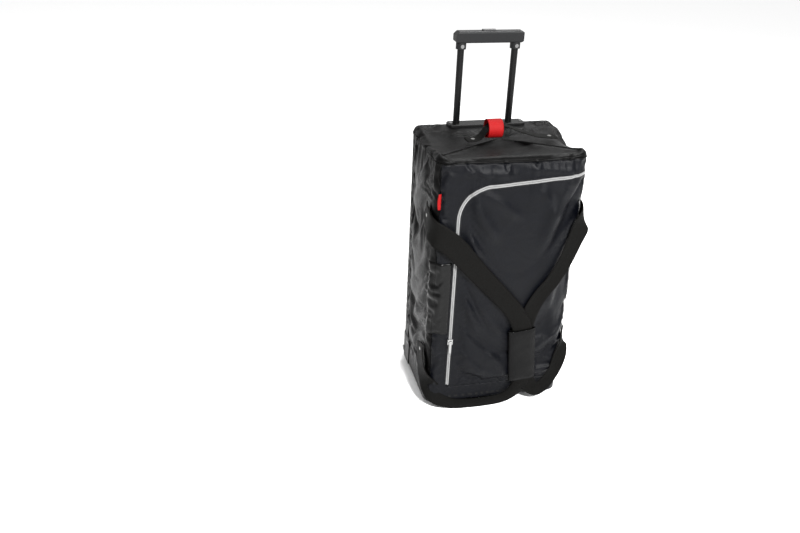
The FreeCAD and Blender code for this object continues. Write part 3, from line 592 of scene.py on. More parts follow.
flapFabric = clothFinish("flapFabric", (0.0003, 0.00039, 0.00069), (0.00101, 0.00129, 0.00248), 0.0022,
    0.0011, 0.7, 0.00025, 0.36, shine=0.08, crease=0.0035, creaseSize=9.0)
shellFabric = clothFinish("shellFabric", (0.00024, 0.00022, 0.0002), (0.00071, 0.00064, 0.00062),
    0.0009, 0.0009, 0.2, 0.00015, 0.38, shine=0.055, crease=0.0020, creaseSize=12.0)
liningFabric = clothFinish("liningFabric", (0.0048, 0.0048, 0.0052), (0.0112, 0.0112, 0.012), 0.0008,
    0.0008, 0.1, 0.0001, 0.6, sheen=0.04)
webbingFinish = clothFinish("webbing", (0.00076, 0.00072, 0.00057), (0.00179, 0.00167, 0.00144), 0.0030,
    0.0016, 0.9, 0.00035, 0.68, shine=0.05, crease=0.0002)
wrapFabric = clothFinish("wrapFabric", (0.00024, 0.00024, 0.00027), (0.00065, 0.00065, 0.00071), 0.0010,
    0.0010, 0.2, 0.00015, 0.50, shine=0.08)
redWebbing = clothFinish("redWebbing", (0.10368, 0.00088, 0.00112), (0.19008, 0.00256, 0.00288), 0.0022,
    0.0013, 0.8, 0.0003, 0.6, shine=0.10, crease=0.0001)
threadFinish = clothFinish("sewingThread", (0.001, 0.001, 0.001), (0.0025, 0.0025, 0.0025), 0.0006,
    0.0006, 0.3, 0.0001, 0.5, sheen=0.04)
zipSilver = hardFinish("zipSilver", (0.2142, 0.2142, 0.2142), (0.29274, 0.29274, 0.28917), 0.35, 0.38,
    900.0)
zipTape = clothFinish("zipTape", (0.08736, 0.08736, 0.08736), (0.15456, 0.15456, 0.15288), 0.0010,
    0.0008, 0.3, 0.0001, 0.5, shine=0.2, crease=0.0001)
patchVinyl = hardFinish("patchVinyl", (0.00019, 0.00019, 0.00019), (0.0005, 0.00048, 0.00048), 0.0,
    0.30, 700.0, 0.00006, 0.12)
printInk = hardFinish("printInk", (0.168, 0.168, 0.168), (0.24, 0.24, 0.24), 0.0, 0.45, 700.0, 0.00004, 0.4)
pipingVinyl = hardFinish("pipingVinyl", (0.0006, 0.0006, 0.0006), (0.0014, 0.0014, 0.0014), 0.0, 0.36,
    900.0, 0.00006, 0.2)
finishes = {
    "flap_fabric": flapFabric, "shell_fabric": shellFabric, "lining_fabric": liningFabric,
    "webbing": webbingFinish, "wrap_fabric": wrapFabric, "red_webbing": redWebbing, "zip_silver": zipSilver,
    "patch_vinyl": patchVinyl, "piping_vinyl": pipingVinyl,
}
hardLooks = {
    "zip_metal": ((0.2, 0.2, 0.2), (0.288, 0.288, 0.284), 0.85, 0.32, 800.0),
    "rivet_metal": ((0.108, 0.108, 0.105), (0.168, 0.168, 0.162), 0.8, 0.36, 900.0),
    "screw_metal": ((0.128, 0.128, 0.128), (0.208, 0.208, 0.208), 0.9, 0.34, 900.0),
    "axle_metal": ((0.12, 0.12, 0.12), (0.184, 0.184, 0.184), 0.95, 0.36, 700.0),
    "bush_metal": ((0.136, 0.12, 0.096), (0.192, 0.172, 0.136), 0.8, 0.42, 700.0),
    "tube_metal": ((0.00135, 0.00135, 0.00144), (0.00405, 0.00405, 0.00428), 0.55, 0.34, 1200.0,
        0.00002, 0.3),
    "sleeve_metal": ((0.088, 0.088, 0.092), (0.136, 0.136, 0.14), 0.9, 0.40, 900.0),
    "grip_plastic": ((0.00281, 0.00296, 0.00328), (0.0053, 0.00546, 0.00593), 0.0, 0.48, 1500.0,
        0.00008, 0.15),
    "button_plastic": ((0.002, 0.002, 0.0022), (0.004, 0.004, 0.0044), 0.0, 0.40, 1500.0, 0.00006, 0.4),
    "base_plastic": ((0.00048, 0.00048, 0.00052), (0.00128, 0.00128, 0.0014), 0.0, 0.50, 1300.0,
        0.00010, 0.15),
    "board_plastic": ((0.008, 0.008, 0.0084), (0.0152, 0.0152, 0.016), 0.0, 0.55, 600.0, 0.0001, 0.3),
    "rim_plastic": ((0.012, 0.0124, 0.0132), (0.022, 0.0224, 0.024), 0.0, 0.42, 1300.0, 0.00006, 0.4),
    "tyre_rubber": ((0.004, 0.004, 0.004), (0.0096, 0.0092, 0.0088), 0.0, 0.70, 500.0, 0.00014, 0.25),
    "foot_rubber": ((0.0036, 0.0036, 0.0036), (0.008, 0.008, 0.008), 0.0, 0.66, 600.0, 0.00012, 0.25),
    "lock_plastic": ((0.018, 0.018, 0.0188), (0.03, 0.03, 0.0312), 0.0, 0.45, 1200.0, 0.00006, 0.4),
}
for slot, look in hardLooks.items():
    first, *rest = slot.split("_")
    finishes[slot] = hardFinish(first + "".join(word.capitalize() for word in rest), *look)
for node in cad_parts.values():
    kind = node.data.materials[0].name if node.data.materials else ""
    if kind in finishes:
        node.data.materials[0] = finishes[kind]
print("finishes made")


# sewn panels
def thicken(piece, thick=skin["cloth"]):
    solid = piece.modifiers.new("clothThickness", "SOLIDIFY")
    solid.thickness = thick
    solid.offset = -1
    solid.use_even_offset = False


def gridPanel(name, start, end, node):
    high = skin["seamTop"] - skin["low"]
    cols = max(2, round((end - start) / skin["panelCell"]))
    rows = max(2, round(high / skin["panelCell"]))
    verts, threads = [], []
    for i in range(rows + 1):
        for j in range(cols + 1):
            along = start + (end - start) * j / cols
            up = skin["low"] + high * i / rows
            verts.append(onSkin(along, up)[0])
            threads.append((along, up, 0))
    faces = sheetFaces(rows, cols)
    thicken(makePiece(name, verts, faces, shellFabric, "bag", threads, "shell_fabric", (node,)))


def topPanelPiece():
    cols = round(2 * halfRound / skin["panelCell"])
    rows = round((skinTop - skin["seamTop"]) / skin["panelCell"])
    verts, threads = [], []
    for i in range(rows):
        up = skin["seamTop"] + (skinTop - skin["seamTop"]) * i / rows
        for j in range(cols):
            point = onSkin(-halfRound + 2 * halfRound * j / cols, up)[0]
            verts.append(point)
            threads.append((point.x, point.y, 0))
    middle = sum((verts[(rows - 1) * cols + j] for j in range(cols)), Vector()) / cols
    verts.append(middle)
    threads.append((middle.x, middle.y, 0))
    faces = tubeFaces(rows, cols) + tipFaces(rows, cols)
    thicken(makePiece("topPanel", verts, faces, shellFabric, "bag", threads, "shell_fabric",
        ("top_panel",)))


flapCut = {
    "left": flapBox[0].x,
    "right": seamFront - skin["frontRound"] * math.asin((sideBox[0].y - flapBox[1].y) / skin["frontRound"]),
    "low": flapBox[0].z,
    "slope": 36 / 472,  # the top edge climbs to the right
    "round": 0.080,
    "gap": 0.0006,
}
flapCut["top"] = flapBox[1].z - flapCut["slope"] * (flapBox[1].x - flapBox[0].x)


def cutLine(grow, spacing):
    # the opening's edge from its lower left, over the top, to its lower right
    left, right = flapCut["left"] - grow, flapCut["right"] + grow
    top, bend, lean = flapCut["top"] + grow, flapCut["round"] + grow, math.atan(flapCut["slope"])
    corner = (left + bend, top + flapCut["slope"] * bend - bend / math.cos(lean))
    rise = corner[1] - flapCut["low"]
    count = max(2, round(rise / spacing))
    path = [(left, flapCut["low"] + rise * i / count) for i in range(count + 1)]
    sweep = math.pi / 2 - lean
    count = max(4, round(bend * sweep / spacing))
    for i in range(1, count + 1):
        turn = sweep * i / count
        path.append((corner[0] - bend * math.cos(turn), corner[1] + bend * math.sin(turn)))
    start = path[-1][0]
    count = round((right - start) / spacing)
    for i in range(1, count + 1):
        along = start + (right - start) * i / count
        path.append((along, top + flapCut["slope"] * (ringPoint(along, 0.0)[0].x - left)))
    peak = path[-1][1]
    count = round((peak - flapCut["low"]) / spacing)
    path += [(right, peak - (peak - flapCut["low"]) * i / count) for i in range(1, count + 1)]
    return path


def meshRegion(outline, holes, spacing):
    # triangles that fill an outline in (along, up), minus its holes
    points = [Vector(p) for p in outline]
    edges = [(i, (i + 1) % len(outline)) for i in range(len(outline))]
    for hole in holes:
        start = len(points)
        points += [Vector(p) for p in hole]
        edges += [(start + i, start + (i + 1) % len(hole)) for i in range(len(hole))]
    loops = [outline] + list(holes)
    lowA, highA = min(p[0] for p in outline), max(p[0] for p in outline)
    lowU, highU = min(p[1] for p in outline), max(p[1] for p in outline)
    border = np.array([p for loop in loops for p in loop])
    rowStep = spacing * math.sqrt(3) / 2
    rows = int((highU - lowU) / rowStep)
    for i in range(1, rows):
        for j in range(int((highA - lowA) / spacing) + 1):
            a = lowA + (j + 0.5 * (i % 2)) * spacing
            u = lowU + i * rowStep
            if inside(a, u, outline) and not any(inside(a, u, h) for h in holes):
                if np.min(np.hypot(border[:, 0] - a, border[:, 1] - u)) > 0.55 * spacing:
                    points.append(Vector((a, u)))
    verts, _, faces, _, _, _ = delaunay_2d_cdt(points, edges, [], 0, 1e-7)
    kept = []
    for face in faces:
        a = sum(verts[k][0] for k in face) / len(face)
        u = sum(verts[k][1] for k in face) / len(face)
        if inside(a, u, outline) and not any(inside(a, u, h) for h in holes):
            kept.append(tuple(face))
    return [(v[0], v[1]) for v in verts], kept


def inside(a, u, loop):
    found = False
    for i in range(len(loop)):
        (a0, u0), (a1, u1) = loop[i - 1], loop[i]
        if (u0 > u) != (u1 > u) and a < (a1 - a0) * (u - u0) / (u1 - u0) + a0:
            found = not found
    return found


def densify(corners, spacing):
    path = []
    for i in range(len(corners)):
        (a0, u0), (a1, u1) = corners[i], corners[(i + 1) % len(corners)]
        count = max(1, round(math.hypot(a1 - a0, u1 - u0) / spacing))
        path += [(a0 + (a1 - a0) * k / count, u0 + (u1 - u0) * k / count) for k in range(count)]
    return path


def regionPanel(name, outline, holes, finish, body, slot, stands, lift=0.0):
    flat, faces = meshRegion(outline, holes, skin["panelCell"])
    verts = [onSkin(a, u, lift)[0] for a, u in flat]
    thicken(makePiece(name, verts, faces, finish, body, [(a, u, 0) for a, u in flat], slot, stands))


def rectangle(left, low, right, high):
    return densify([(left, low), (right, low), (right, high), (left, high)], skin["panelCell"])


def closeLow(path, spacing):
    (a0, u0), (a1, _) = path[-1], path[0]
    count = round((a0 - a1) / spacing)
    return path + [(a0 + (a1 - a0) * i / count, u0) for i in range(1, count)]


cell = skin["panelCell"]
gridPanel("sidePanelLeft", -seamBack, seamLeft, "side_panel_left")
gridPanel("sidePanelRight", seamFront, seamBack, "side_panel_right")
gridPanel("backPanel", seamBack, 2 * halfRound - seamBack, "back_panel")
topPanelPiece()
frameOutline = rectangle(seamLeft, skin["low"], seamFront, skin["seamTop"])
opening = closeLow(cutLine(0.0, cell), cell)
regionPanel("frontFrame", frameOutline, [opening], flapFabric, "bag", "flap_fabric", ("front_frame",))
flapOutline = closeLow(cutLine(-flapCut["gap"], cell), cell)
regionPanel("flapPanel", flapOutline, [], flapFabric, "flap", "flap_fabric", ("flap",))
print("panels sewn")


# the zip: two tapes, each with its row of teeth
def pathFrames(path):
    frames = []
    for i, (a, u) in enumerate(path):
        point, out = onSkin(a, u)
        before = onSkin(*path[max(0, i - 1)])[0]
        after = onSkin(*path[min(len(path) - 1, i + 1)])[0]
        ahead = (after - before).normalized()
        across = out.cross(ahead).normalized()
        frames.append((point, out, ahead, across))
    return frames


zipWork = {
    "part": 0.0006,  # half the gap between the tapes
    "tapeWide": 0.0032,
    "tapeThick": 0.0007,
    "toothWide": 0.0019,
    "toothLong": 0.0011,
    "toothHigh": 0.0011,
    "sunk": 0.0002,  # how far a tooth reaches over its tape's edge
    "pitch": 0.0022,
    "lift": 0.0006,
    "cell": 0.003,
}


def tapeAlong(name, frames, side, body, node):
    # a flat band beside the opening's edge
    low, high = zipWork["lift"], zipWork["lift"] + zipWork["tapeThick"]
    near, far = zipWork["part"] * side, (zipWork["part"] + zipWork["tapeWide"]) * side
    verts, threads = [], []
    run = 0.0
    for i, (point, out, ahead, across) in enumerate(frames):
        if i:
            run += (point - frames[i - 1][0]).length
        for offset, rise in ((near, low), (near, high), (far, high), (far, low)):
            verts.append(point + across * offset + out * rise)
            threads.append((offset, run, 0))
    faces = rodFaces(len(frames), 4)
    makePiece(name, verts, faces, zipTape, body, threads, "zip_silver", (node,), shade=False)


def walk(frames, due, pitch):
    # the frame before, the frame after and the share between them, once every pitch
    run = 0.0
    for before, after in zip(frames, frames[1:]):
        span = (after[0] - before[0]).length
        while due <= run + span:
            yield before, after, (due - run) / span
            due += pitch
        run += span


def addBlock(verts, faces, centre, axes, halves, taper=0.72):
    start = len(verts)
    for high, scale in ((-1, 1.0), (0.35, 1.0), (1, taper)):
        for sideA, sideB in ((-1, -1), (1, -1), (1, 1), (-1, 1)):
            flat = centre + axes[0] * halves[0] * sideA * scale + axes[1] * halves[1] * sideB * scale
            verts.append(flat + axes[2] * halves[2] * high)
    faces += [tuple(start + k for k in face) for face in rodFaces(3, 4)]


def zipRow(tag, side, body, node):
    frames = pathFrames([p for p in cutLine(0.0, zipWork["cell"]) if p[1] > teethBox[0].z - 0.001])
    tapeAlong("zipTape" + tag, frames, side, body, node)
    halves = (zipWork["toothWide"] / 2, zipWork["toothLong"] / 2, zipWork["toothHigh"] / 2)
    aside = zipWork["part"] + zipWork["toothWide"] / 2 - zipWork["sunk"]
    raised = zipWork["lift"] + zipWork["tapeThick"] + zipWork["toothHigh"] / 2
    verts, faces = [], []
    for before, after, t in walk(frames, zipWork["pitch"] * (0.25 + 0.25 * side), zipWork["pitch"]):
        point, out, ahead, across = (p.lerp(q, t) for p, q in zip(before, after))
        centre = point + across * side * aside + out * raised
        addBlock(verts, faces, centre, (across, ahead, out), halves)
    makePiece("zipTeeth" + tag, verts, faces, zipSilver, body, slot="zip_silver", shade=False)


zipRow("Frame", 1, "bag", "zip_teeth_frame")
zipRow("Flap", -1, "flap", "zip_teeth_flap")
print("zip made")


# ribbons: straps of webbing swept along stations of (centre, across, share of the full width)
def catmull(points, spacing):
    done = []
    for i in range(len(points) - 1):
        near = [points[max(0, i - 1)], points[i], points[i + 1], points[min(len(points) - 1, i + 2)]]
        count = max(2, math.ceil((near[2][0] - near[1][0]).length / spacing))
        for k in range(count + (i == len(points) - 2)):
            weights = cubicWeights(k / count)
            kinds = [[p[n] * w for p, w in zip(near, weights)] for n in range(3)]
            done.append(tuple(sum(kind[1:], kind[0]) for kind in kinds))
    return done


def ribbonMesh(route, wide, thick, curl=0.0, ripple=0.0, spacing=0.004, parts=10):
    full = [(*station, 1.0)[:3] for station in route]
    stations = catmull([(Vector(c), Vector(a).normalized(), share) for c, a, share in full], spacing)
    verts, threads = [], []
    run = 0.0
    loop = [(-1 + 2 * k / parts, 1) for k in range(parts + 1)] + [(1 - 2 * k / parts,
        -1) for k in range(parts + 1)]
    for i, (centre, across, share) in enumerate(stations):
        ahead = stations[min(len(stations) - 1, i + 1)][0] - stations[max(0, i - 1)][0]
        across = (across - ahead * across.dot(ahead) / ahead.length_squared).normalized()
        face = ahead.cross(across).normalized()
        if i:
            run += (centre - stations[i - 1][0]).length
        # webbing pressed narrower than its width stands up in a shallow arch
        arch = wide * 0.35 * math.sqrt(max(0.0, 1 - share))
        for place, side in loop:
            edge = 0.5 if abs(place) > 0.999 else 1.0
            wave = curl * (place * place - 0.33) + ripple * math.sin(run * 38 + place * 2.1) * place
            wave -= arch * place * place * (0.35 if share < 0.99 else 0.0)
            aside = centre + across * place * share * wide / 2
            verts.append(aside + face * (wave + side * edge * thick / 2))
            threads.append((place * wide / 2, run, 0))
    return verts, threads, rodFaces(len(stations), len(loop))


def ribbon(name, route, wide, thick, finish, body, slot, stands=(), **shape):
    verts, threads, faces = ribbonMesh(route, wide, thick, **shape)
    return makePiece(name, verts, faces, finish, body, threads, slot, stands)


strapWork = {"wide": 0.054, "thick": 0.0024, "curl": 0.0008, "ripple": 0.0006}
leftRoute = [
    ((-0.179, -0.054, 0.518), (0, -0.47, 0.88)), ((-0.1805, -0.072, 0.508), (0, -0.47, 0.88)),
    ((-0.1825, -0.097, 0.499), (0.05, -0.6, 0.8), 1.05), ((-0.178, -0.117, 0.489), (0.35, -0.5, 0.8), 1.08),
    ((-0.16, -0.131, 0.476), (0.6, -0.1, 0.8), 1.06), ((-0.127, -0.137, 0.45), (0.7, 0, 0.71)),
    ((-0.065, -0.1385, 0.379), (0.73, 0, 0.68), 0.9), ((-0.011, -0.14, 0.32), (0.75, 0, 0.66), 0.84),
    ((0.031, -0.1405, 0.27), (0.85, 0, 0.52), 0.84), ((0.054, -0.14, 0.222), (0.97, 0, 0.25), 0.9),
    ((0.061, -0.1375, 0.17), (1, 0, 0.1), 0.95), ((0.068, -0.1365, 0.1), (1, 0, 0.1), 0.95),
    ((0.07, -0.136, 0.07), (1, 0, 0.15), 0.8), ((0.054, -0.1365, 0.041), (0.75, -0.1, -0.6), 0.62),
    ((0.027, -0.136, 0.022), (0.25, -0.3, -0.9), 0.46), ((-0.01, -0.135, 0.015), (0.05, -0.4, -0.9), 0.42),
    ((-0.06, -0.134, 0.013), (0, -0.4, -0.9), 0.42), ((-0.11, -0.13, 0.017), (-0.1, -0.35, -0.9), 0.5),
    ((-0.15, -0.123, 0.042), (-0.5, -0.2, -0.8), 0.8), ((-0.179, -0.101, 0.095), (-0.15, 0.75, -0.6)),
    ((-0.1815, -0.082, 0.13), (0, 0.9, -0.45)), ((-0.1805, -0.072, 0.15), (0, 0.93, -0.36)),
    ((-0.179, -0.066, 0.165), (0, 0.93, -0.36)),
]
rightRoute = [
    ((0.179, -0.054, 0.518), (0, -0.47, 0.88)), ((0.1805, -0.072, 0.508), (0, -0.45, 0.89)),
    ((0.184, -0.093, 0.506), (-0.05, -0.35, 0.93)), ((0.183, -0.115, 0.5), (-0.35, -0.3, 0.9)),
    ((0.172, -0.13, 0.482), (-0.75, -0.1, 0.65), 0.88), ((0.16, -0.1335, 0.452), (-0.85, 0, 0.5), 0.74),
    ((0.142, -0.1345, 0.398), (-0.85, 0, 0.5), 0.68), ((0.117, -0.1345, 0.349), (-0.8, 0, 0.6), 0.68),
    ((0.091, -0.1335, 0.311), (-0.8, 0, 0.6), 0.7), ((0.071, -0.133, 0.266), (-0.9, 0, 0.35), 0.75),
    ((0.06, -0.1325, 0.215), (-1, 0, 0), 0.85), ((0.064, -0.1325, 0.15), (-1, 0, -0.1), 0.9),
    ((0.072, -0.1325, 0.09), (-1, 0, -0.1), 0.9), ((0.086, -0.133, 0.058), (-0.9, 0, -0.4), 0.75),
    ((0.11, -0.133, 0.036), (-0.3, -0.2, -0.9), 0.62), ((0.133, -0.132, 0.052), (0.45, -0.2, -0.8), 0.6),
    ((0.154, -0.13, 0.085), (0.8, -0.1, -0.55), 0.6), ((0.166, -0.126, 0.122), (1, -0.1, -0.1), 0.62),
    ((0.175, -0.113, 0.16), (0.6, 0.5, -0.4), 0.7), ((0.182, -0.09, 0.165), (0, 0.3, -0.95), 0.95),
    ((0.1805, -0.072, 0.155), (0, 0.2, -0.98)), ((0.179, -0.056, 0.15), (0, 0.2, -0.98)),
]


def strap(name, route, node):
    shape = {"curl": strapWork["curl"], "ripple": strapWork["ripple"]}
    wide, thick = strapWork["wide"], strapWork["thick"]
    return ribbon(name, route, wide, thick, webbingFinish, "bag", "webbing", (node,), **shape)


strapLeft = strap("strapLeft", leftRoute, "carry_strap_left")
strapRight = strap("strapRight", rightRoute, "carry_strap_right")
print("straps laid")

# padded wrap round both straps
wrap = {
    "top": Vector((0.0540, -0.1360, 0.220)),
    "low": Vector((0.0670, -0.1360, 0.076)),
    "wide": 0.068,
    "deep": 0.019,
    "rows": 44,
    "cols": 48,
    "squareWide": 0.62,  # below 1 the section is squarer than an ellipse
    "squareDeep": 0.8,
    "pinch": 0.22,  # how much thinner the ends are
    "pinchReach": 0.03,
    "swell": 0.05,
    "lump": 0.0012,
    "lumpScale": 45,
}


def wrapPad():
    length = (wrap["low"] - wrap["top"]).length
    ahead = (wrap["low"] - wrap["top"]).normalized()
    rows, cols, deepWays = wrap["rows"], wrap["cols"], Vector((0, 1, 0))
    across = deepWays.cross(ahead).normalized()
    verts, threads = [], []
    for i in range(rows + 1):
        t = i / rows
        first, last = (math.exp(-((away / wrap["pinchReach"]) ** 2)) for away in (t, 1 - t))
        end = 1 - wrap["pinch"] * first - wrap["pinch"] * last
        for j in range(cols):
            turn = 2 * math.pi * j / cols
            c, s = math.cos(turn), math.sin(turn)
            x = math.copysign(abs(c) ** wrap["squareWide"], c) * wrap["wide"] / 2
            y = math.copysign(abs(s) ** wrap["squareDeep"], s) * wrap["deep"] / 2
            swell = 1 + wrap["swell"] * math.sin(t * 9.0) * abs(s)
            point = wrap["top"] + ahead * length * t + across * x * (0.97 + 0.03 * end)
            point += deepWays * y * end * swell
            point += deepWays * noise.noise(point * wrap["lumpScale"]) * wrap["lump"]
            verts.append(point)
            threads.append((turn * wrap["wide"] / 2, t * length, 0))
    faces = tubeFaces(rows + 1, cols)
    faces += [tuple(range(cols)), tuple(reversed(range(rows * cols, (rows + 1) * cols)))]
    return makePiece("wrapPad", verts, faces, wrapFabric, "bag", threads, "wrap_fabric", ("wrap_grip",))


wrapPiece = wrapPad()

# grab handle on top, with its red cuff
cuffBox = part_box("grab_cuff")
grabWork = {"wide": 0.032, "thick": 0.0024}
cuffMiddle = (cuffBox[0].x + cuffBox[1].x) / 2
cuffWork = {"rows": 14, "cols": 40, "start": -60, "sweep": 330, "inset": 0.0015, "thick": 0.0022}
grabPath = [
    ((-0.084, -0.020, 0.6642), (0, 1, 0)), ((-0.062, -0.020, 0.6652), (0, 1, 0)), ((-0.050, -0.020,
        0.672), (0, 1, 0)),
    ((-0.036, -0.021, 0.692), (0, 1, 0)), ((cuffMiddle, -0.021, 0.699), (0, 1, 0)), ((0.004, -0.020,
        0.6960), (0, 1, 0)),
    ((0.040, -0.020, 0.682), (0, 1, 0)), ((0.082, -0.020, 0.6690), (0, 1, 0)), ((0.110, -0.020, 0.6652),
        (0, 1, 0)), ((0.132, -0.020, 0.6642), (0, 1, 0)),
]
grabSize = (grabWork["wide"], grabWork["thick"])
grabLeft = ribbon("grabStrapLeft", grabPath[:5], *grabSize, webbingFinish, None, "webbing", ("grab_strap",))
grabRight = ribbon("grabStrapRight", grabPath[4:], *grabSize, webbingFinish, None, "webbing")
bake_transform(grabLeft)
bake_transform(grabRight)


def cuffPiece():
    rows, cols = cuffWork["rows"], cuffWork["cols"]
    verts, threads = [], []
    middle = Vector((0, (cuffBox[0].y + cuffBox[1].y) / 2, (cuffBox[0].z + cuffBox[1].z) / 2))
    halfY, halfZ = (cuffBox[1].y - cuffBox[0].y) / 2, (cuffBox[1].z - cuffBox[0].z) / 2
    for i in range(rows + 1):
        x = cuffBox[0].x + (cuffBox[1].x - cuffBox[0].x) * i / rows
        for j in range(cols + 1):
            turn = math.radians(cuffWork["start"] + cuffWork["sweep"] * j / cols)
            y = middle.y - math.cos(turn) * (halfY - cuffWork["inset"])
            z = middle.z + math.sin(turn) * (halfZ - cuffWork["inset"])
            verts.append(Vector((x, y, z)))
            threads.append((x, turn * halfY, 0))
    faces = sheetFaces(rows, cols)
    piece = makePiece("redCuff", verts, faces, redWebbing, "grab_cuff", threads, "red_webbing",
        ("grab_cuff",))
    thicken(piece, cuffWork["thick"])
    return piece


cuffPiece()

# patch and tag
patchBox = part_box("front_patch")
patchWork = {"in": 0.002, "lift": 0.0012}
patchOutline = rectangle(-seamFront + patchWork["in"], patchBox[0].z, patchBox[1].x, patchBox[1].z)
regionPanel("sidePatch", patchOutline, [], patchVinyl, "bag", "patch_vinyl", ("front_patch",),
    patchWork["lift"])

# welts, piping and stitching
def cordOn(name, path, size, finish, slot, stands=(), sides=8):
    thick, lift = size
    frames = pathFrames(path)
    verts, threads = [], []
    run = 0.0
    for i, (point, out, ahead, across) in enumerate(frames):
        if i:
            run += (point - frames[i - 1][0]).length
        for k in range(sides):
            turn = 2 * math.pi * k / sides
            verts.append(point + out * (lift + thick * math.sin(turn)) + across * thick * math.cos(turn))
            threads.append((turn * thick, run, 0))
    makePiece(name, verts, rodFaces(len(frames), sides), finish, "bag", threads, slot, stands)


def straight(along0, up0, along1, up1, spacing=0.004):
    count = max(2, round(math.hypot(along1 - along0, up1 - up0) / spacing))
    return [(along0 + (along1 - along0) * i / count,
        up0 + (up1 - up0) * i / count) for i in range(count + 1)]


def upright(along, foot):
    return straight(along, foot, along, skin["seamTop"])


cords = {  # (radius, height over the fabric)
    "piping": (0.0022, 0.0012),
    "welt": (0.0011, 0.0004),
    "topWelt": (0.0012, 0.0005),
    "foot": 0.004,
    "housingTop": 0.1,  # seams at the back start over the wheel housings
}
low, high = skin["low"] + cords["foot"], skin["seamTop"]
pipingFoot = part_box("rear_piping")[0].z
cordOn("pipingLeft", upright(-seamBack, pipingFoot), cords["piping"], pipingVinyl, "piping_vinyl",
    ("rear_piping",))
cordOn("pipingRight", upright(seamBack, pipingFoot), cords["piping"], pipingVinyl, "piping_vinyl")
backCorner = seamFront + sideStraight + 0.5 * backArc
for tag, place, foot in (
    ("FrontLeft", seamLeft, low),
    ("FrontRight", seamFront, low),
    ("BackLeft", -backCorner, cords["housingTop"]),
    ("BackRight", backCorner, cords["housingTop"]),
):
    cordOn("welt" + tag, upright(place, foot), cords["welt"], shellFabric, "shell_fabric")
topSeam = straight(-halfRound, high, halfRound, high)
cordOn("weltTop", topSeam, cords["topWelt"], shellFabric, "shell_fabric")

stitch = {
    "wide": 0.0007,
    "long": 0.0024,
    "high": 0.0004,
    "pitch": 0.0040,
    "lift": 0.0003,
    "taper": 0.5,
    "frontAside": 0.004,
    "backAside": 0.005,
    "zipAside": 0.0068,
    "cell": 0.004,
}


def stitchRow(verts, faces, path, offset):
    halves = (stitch["wide"] / 2, stitch["long"] / 2, stitch["high"])
    for before, after, t in walk(pathFrames(path), stitch["pitch"], stitch["pitch"]):
        point, out, ahead, across = before
        centre = point.lerp(after[0], t) + across * offset + out * stitch["lift"]
        addBlock(verts, faces, centre, (across, ahead, out), halves, stitch["taper"])


def stitches(name, rows, body, slot):
    verts, faces = [], []
    for path, offset in rows:
        stitchRow(verts, faces, path, offset)
    makePiece(name, verts, faces, threadFinish, body, slot=slot, shade=False)


zipPath = [q for q in cutLine(0.0, stitch["cell"]) if q[1] > teethBox[0].z]
seamRows = [
    (upright(place, cords["housingTop"]), offset)
    for place, offset in (
        (seamLeft, -stitch["frontAside"]),
        (seamFront, stitch["frontAside"]),
        (-seamBack, -stitch["backAside"]),
        (-seamBack, stitch["backAside"]),
        (seamBack, -stitch["backAside"]),
        (seamBack, stitch["backAside"]),
    )
]
seamRows += [(topSeam, -stitch["frontAside"]), (zipPath, stitch["zipAside"])]
stitches("seamStitches", seamRows, "bag", "shell_fabric")
stitches("flapStitches", [(zipPath, -stitch["zipAside"])], "flap", "flap_fabric")
print("seams stitched")

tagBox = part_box("seam_tag")


def flatSheet(name, verts, faces, finish, slot, node, thick):
    piece = makePiece(name, verts, faces, finish, "bag", [(v.x, v.z, 0) for v in verts], slot, (node,))
    thicken(piece, thick)
    return piece


tagWork = {
    "rows": 12,
    "cols": 4,
    "inset": 0.0005,
    "reach": 0.55,  # share of the box's width that the label takes
    "foot": 0.62,
    "curl": 0.002,
    "thick": 0.0014,
}


def tagPiece():
    # a folded label caught in the seam, narrower at its foot
    rows, cols = tagWork["rows"], tagWork["cols"]
    size = tagBox[1] - tagBox[0]
    middle = (tagBox[0].y + tagBox[1].y) / 2
    verts = []
    for i in range(rows + 1):
        t = i / rows
        reach = tagWork["foot"] + (1 - tagWork["foot"]) * math.sin(math.pi * min(1.0, 0.15 + 0.75 * t))
        for j in range(cols + 1):
            out = j / cols
            x = tagBox[1].x - tagWork["inset"] - size.x * tagWork["reach"] * reach * out
            y = middle - tagWork["curl"] * math.sin(out * 2.4)
            verts.append(Vector((x, y, tagBox[0].z + size.z * t)))
    flatSheet("seamTag", verts, sheetFaces(rows, cols), redWebbing, "red_webbing", "seam_tag",
        tagWork["thick"])


tagPiece()

# the lining, a flat sheet held at its edges
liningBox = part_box("lining_panel")
liningWork = {"cols": 42, "rows": 64, "ripple": 0.0004, "thick": 0.0006}


def liningPiece():
    size = liningBox[1] - liningBox[0]
    middle = (liningBox[0].y + liningBox[1].y) / 2
    verts = []
    cols, rows = liningWork["cols"], liningWork["rows"]
    for i in range(rows + 1):
        for j in range(cols + 1):
            x, z = liningBox[0].x + size.x * j / cols, liningBox[0].z + size.z * i / rows
            y = middle + noise.noise(Vector((x * 9, z * 5, 3.0))) * liningWork["ripple"]
            verts.append(Vector((x, y, z)))
    faces, thick = sheetFaces(rows, cols), liningWork["thick"]
    piece = flatSheet("liningPanel", verts, faces, liningFabric, "lining_fabric", "lining_panel", thick)


liningPiece()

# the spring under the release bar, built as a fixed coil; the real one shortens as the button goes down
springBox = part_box("return_spring")
springWork = {"turns": 4, "wire": 0.0004, "steps": 18, "sides": 6, "keep": 0.56}


